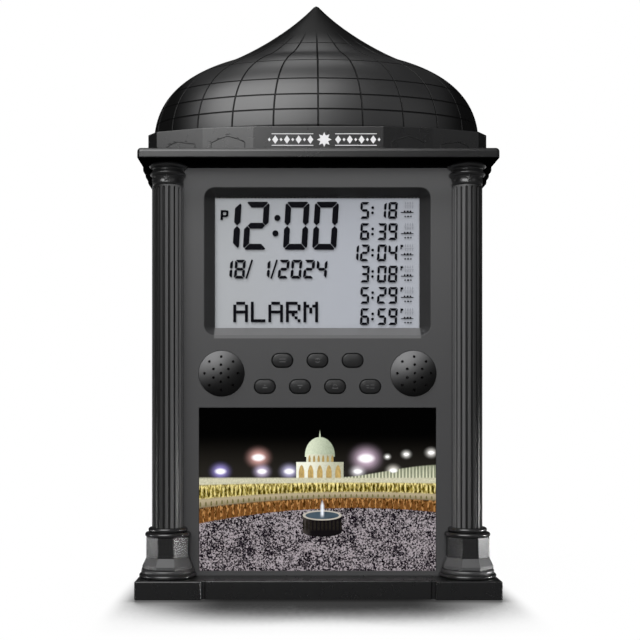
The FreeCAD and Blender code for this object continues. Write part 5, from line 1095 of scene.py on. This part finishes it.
# %% Lights
def softbox(name, place, target, width, height, power, spread=180.0, mirrored=True):
    """A rectangular light that faces a target; all in metres, watts and degrees of spread."""
    lamp = bpy.data.lights.new(name, "AREA")
    lamp.shape, lamp.size, lamp.size_y, lamp.energy = "RECTANGLE", width, height, power
    lamp.spread = math.radians(spread)
    holder = bpy.data.objects.new(name, lamp)
    bpy.context.scene.collection.objects.link(holder)
    away = np.array(place) - np.array(target)
    holder.location = place
    holder.rotation_euler = (math.acos(away[2] / np.linalg.norm(away)), 0, math.atan2(away[0], -away[1]))
    holder.visible_camera, holder.visible_glossy = False, mirrored


softbox("key", (-0.43, -0.94, 0.98), (0, -0.03, 0.17), 1.10, 1.10, 17.0)
softbox("top", (-0.08, 0.04, 1.45), (0, -0.03, 0.25), 0.50, 0.50, 1.7)
softbox("right", (0.77, -0.88, 0.78), (0, -0.03, 0.17), 0.58, 0.58, 0.4)
softbox("side_left", (-0.85, -0.02, 0.03), (0, -0.02, 0.03), 0.50, 0.06, 0.032, 10.0)
softbox("side_right", (0.85, -0.02, 0.03), (0, -0.02, 0.03), 0.50, 0.06, 0.12, 10.0)
softbox("behind", (0.30, 1.15, 0.45), (0, 0, 0.15), 0.60, 0.60, 8.0, mirrored=False)
softbox("beside_left", (-1.15, 0.50, 0.35), (0, 0.02, 0.15), 0.50, 0.50, 7.0, mirrored=False)
softbox("beside_right", (1.15, 0.50, 0.35), (0, 0.02, 0.15), 0.50, 0.50, 7.0, mirrored=False)
softbox("fill", (0.05, -1.2, 0.30), (0, 0, 0.15), 0.60, 0.50, 8.2, mirrored=False)
print("lights:", len(bpy.data.lights))

# %% [markdown]
# ## White floor and dim room
# The floor glows white by itself, and two ambient occlusion nodes darken it: a wide one, tilted towards
# the back, for the short shadow in front of the clock, and a narrow one where the clock touches the floor.
# Rays that don't come from the camera or through glass meet a plain dark floor.

# %% Floor
def open_to_white(sheet, behind):
    """1 for rays that show the background: the camera's, those through glass, and mirrored ones behind."""
    rays = sheet.node("LightPath").socket.node
    straight, mirrored, through = (Wire(sheet, rays.outputs[name])
                                   for name in ("Is Camera Ray", "Is Glossy Ray", "Is Transmission Ray"))
    return (straight + through + mirrored * behind).math("MINIMUM", 1.0)


corners = np.array([(-6, -6, 0), (6, -6, 0), (6, 6, 0), (-6, 6, 0)], float)
floor = new_piece("floor", corners, [(0, 1, 2, 3)], smooth=False)
sheet = Sheet("floor")
x, y, _ = sheet.xyz()
lean = sheet.node("CombineXYZ", {}, {0: 0.0, 1: 0.88, 2: 0.47})
nearby = sheet.node("AmbientOcclusion", {"samples": 16}, {"Distance": 85 * MM, "Normal": lean}, 1)
contact = sheet.node("AmbientOcclusion", {"samples": 8}, {"Distance": 7 * MM}, 1)
middle = (1 - abs(x).step(45.0, 85.0) * 0.22) * abs(x).step(105.0, 93.0)
shadow = (1 - (1 - nearby.step(0.54, 0.99)) * middle * 0.955) * (contact.step(0.35, 0.95) * 0.5 + 0.5)
plain, matt = (sheet.node("BsdfDiffuse", {}, {"Color": tone})
               for tone in ((0.08, 0.08, 0.08), sheet.mix(shadow, (0, 0, 0), (0.95, 0.95, 0.95))))
glow = sheet.node("Emission", {}, {"Color": sheet.mix(shadow, (0, 0, 0), (1, 1, 1)), "Strength": 1.0})
away = (x ** 2 + y ** 2) ** 0.5
lit = sheet.blend(0.98 + away.step(120.0, 300.0) * 0.02, matt, glow)
sheet.blend(open_to_white(sheet, y.step(500.0, 1200.0)), plain, lit)
floor.data.materials.append(sheet.material)
print("floor ready")

# %% World
room = Sheet("studio_room", bpy.data.worlds, "Background", "OutputWorld", "Generated")
_, y, z = room.parts(room.place)
dim = 0.006 + y.step(0.1, -0.7) * 0.03 + z.step(0.3, 1.0) * 0.04
dim = room.mix(dim, (0, 0, 0), (1, 1, 1))
room.set(Color=room.mix(open_to_white(room, y.step(0.985, 0.997)), dim, (1, 1, 1)), Strength=1.0)
bpy.context.scene.world = room.material
print("world ready")

# %% [markdown]
# ## Camera
# The camera stands low, at a third of the clock's height, and square to its front. A little lens shift
# keeps the whole clock in the frame while the columns stay upright.

# %% Camera and colour
view = bpy.data.cameras.new("camera")
view.lens, view.sensor_width = 63.0, 36.0
view.shift_x, view.shift_y = 0.0492, 0.1328
view.clip_start, view.clip_end = 0.01, 50.0
camera = bpy.data.objects.new("camera", view)
bpy.context.scene.collection.objects.link(camera)
camera.location = (-0.015, -0.606, 0.0985)
camera.rotation_euler = (math.pi / 2, 0, 0)
bpy.context.scene.camera = camera
bpy.context.scene.view_settings.view_transform = "Standard"
print("camera", round(camera.location.z / MM, 1), "mm up, lens", view.lens, "mm")

# %% Finish
bpy.context.view_layer.update()
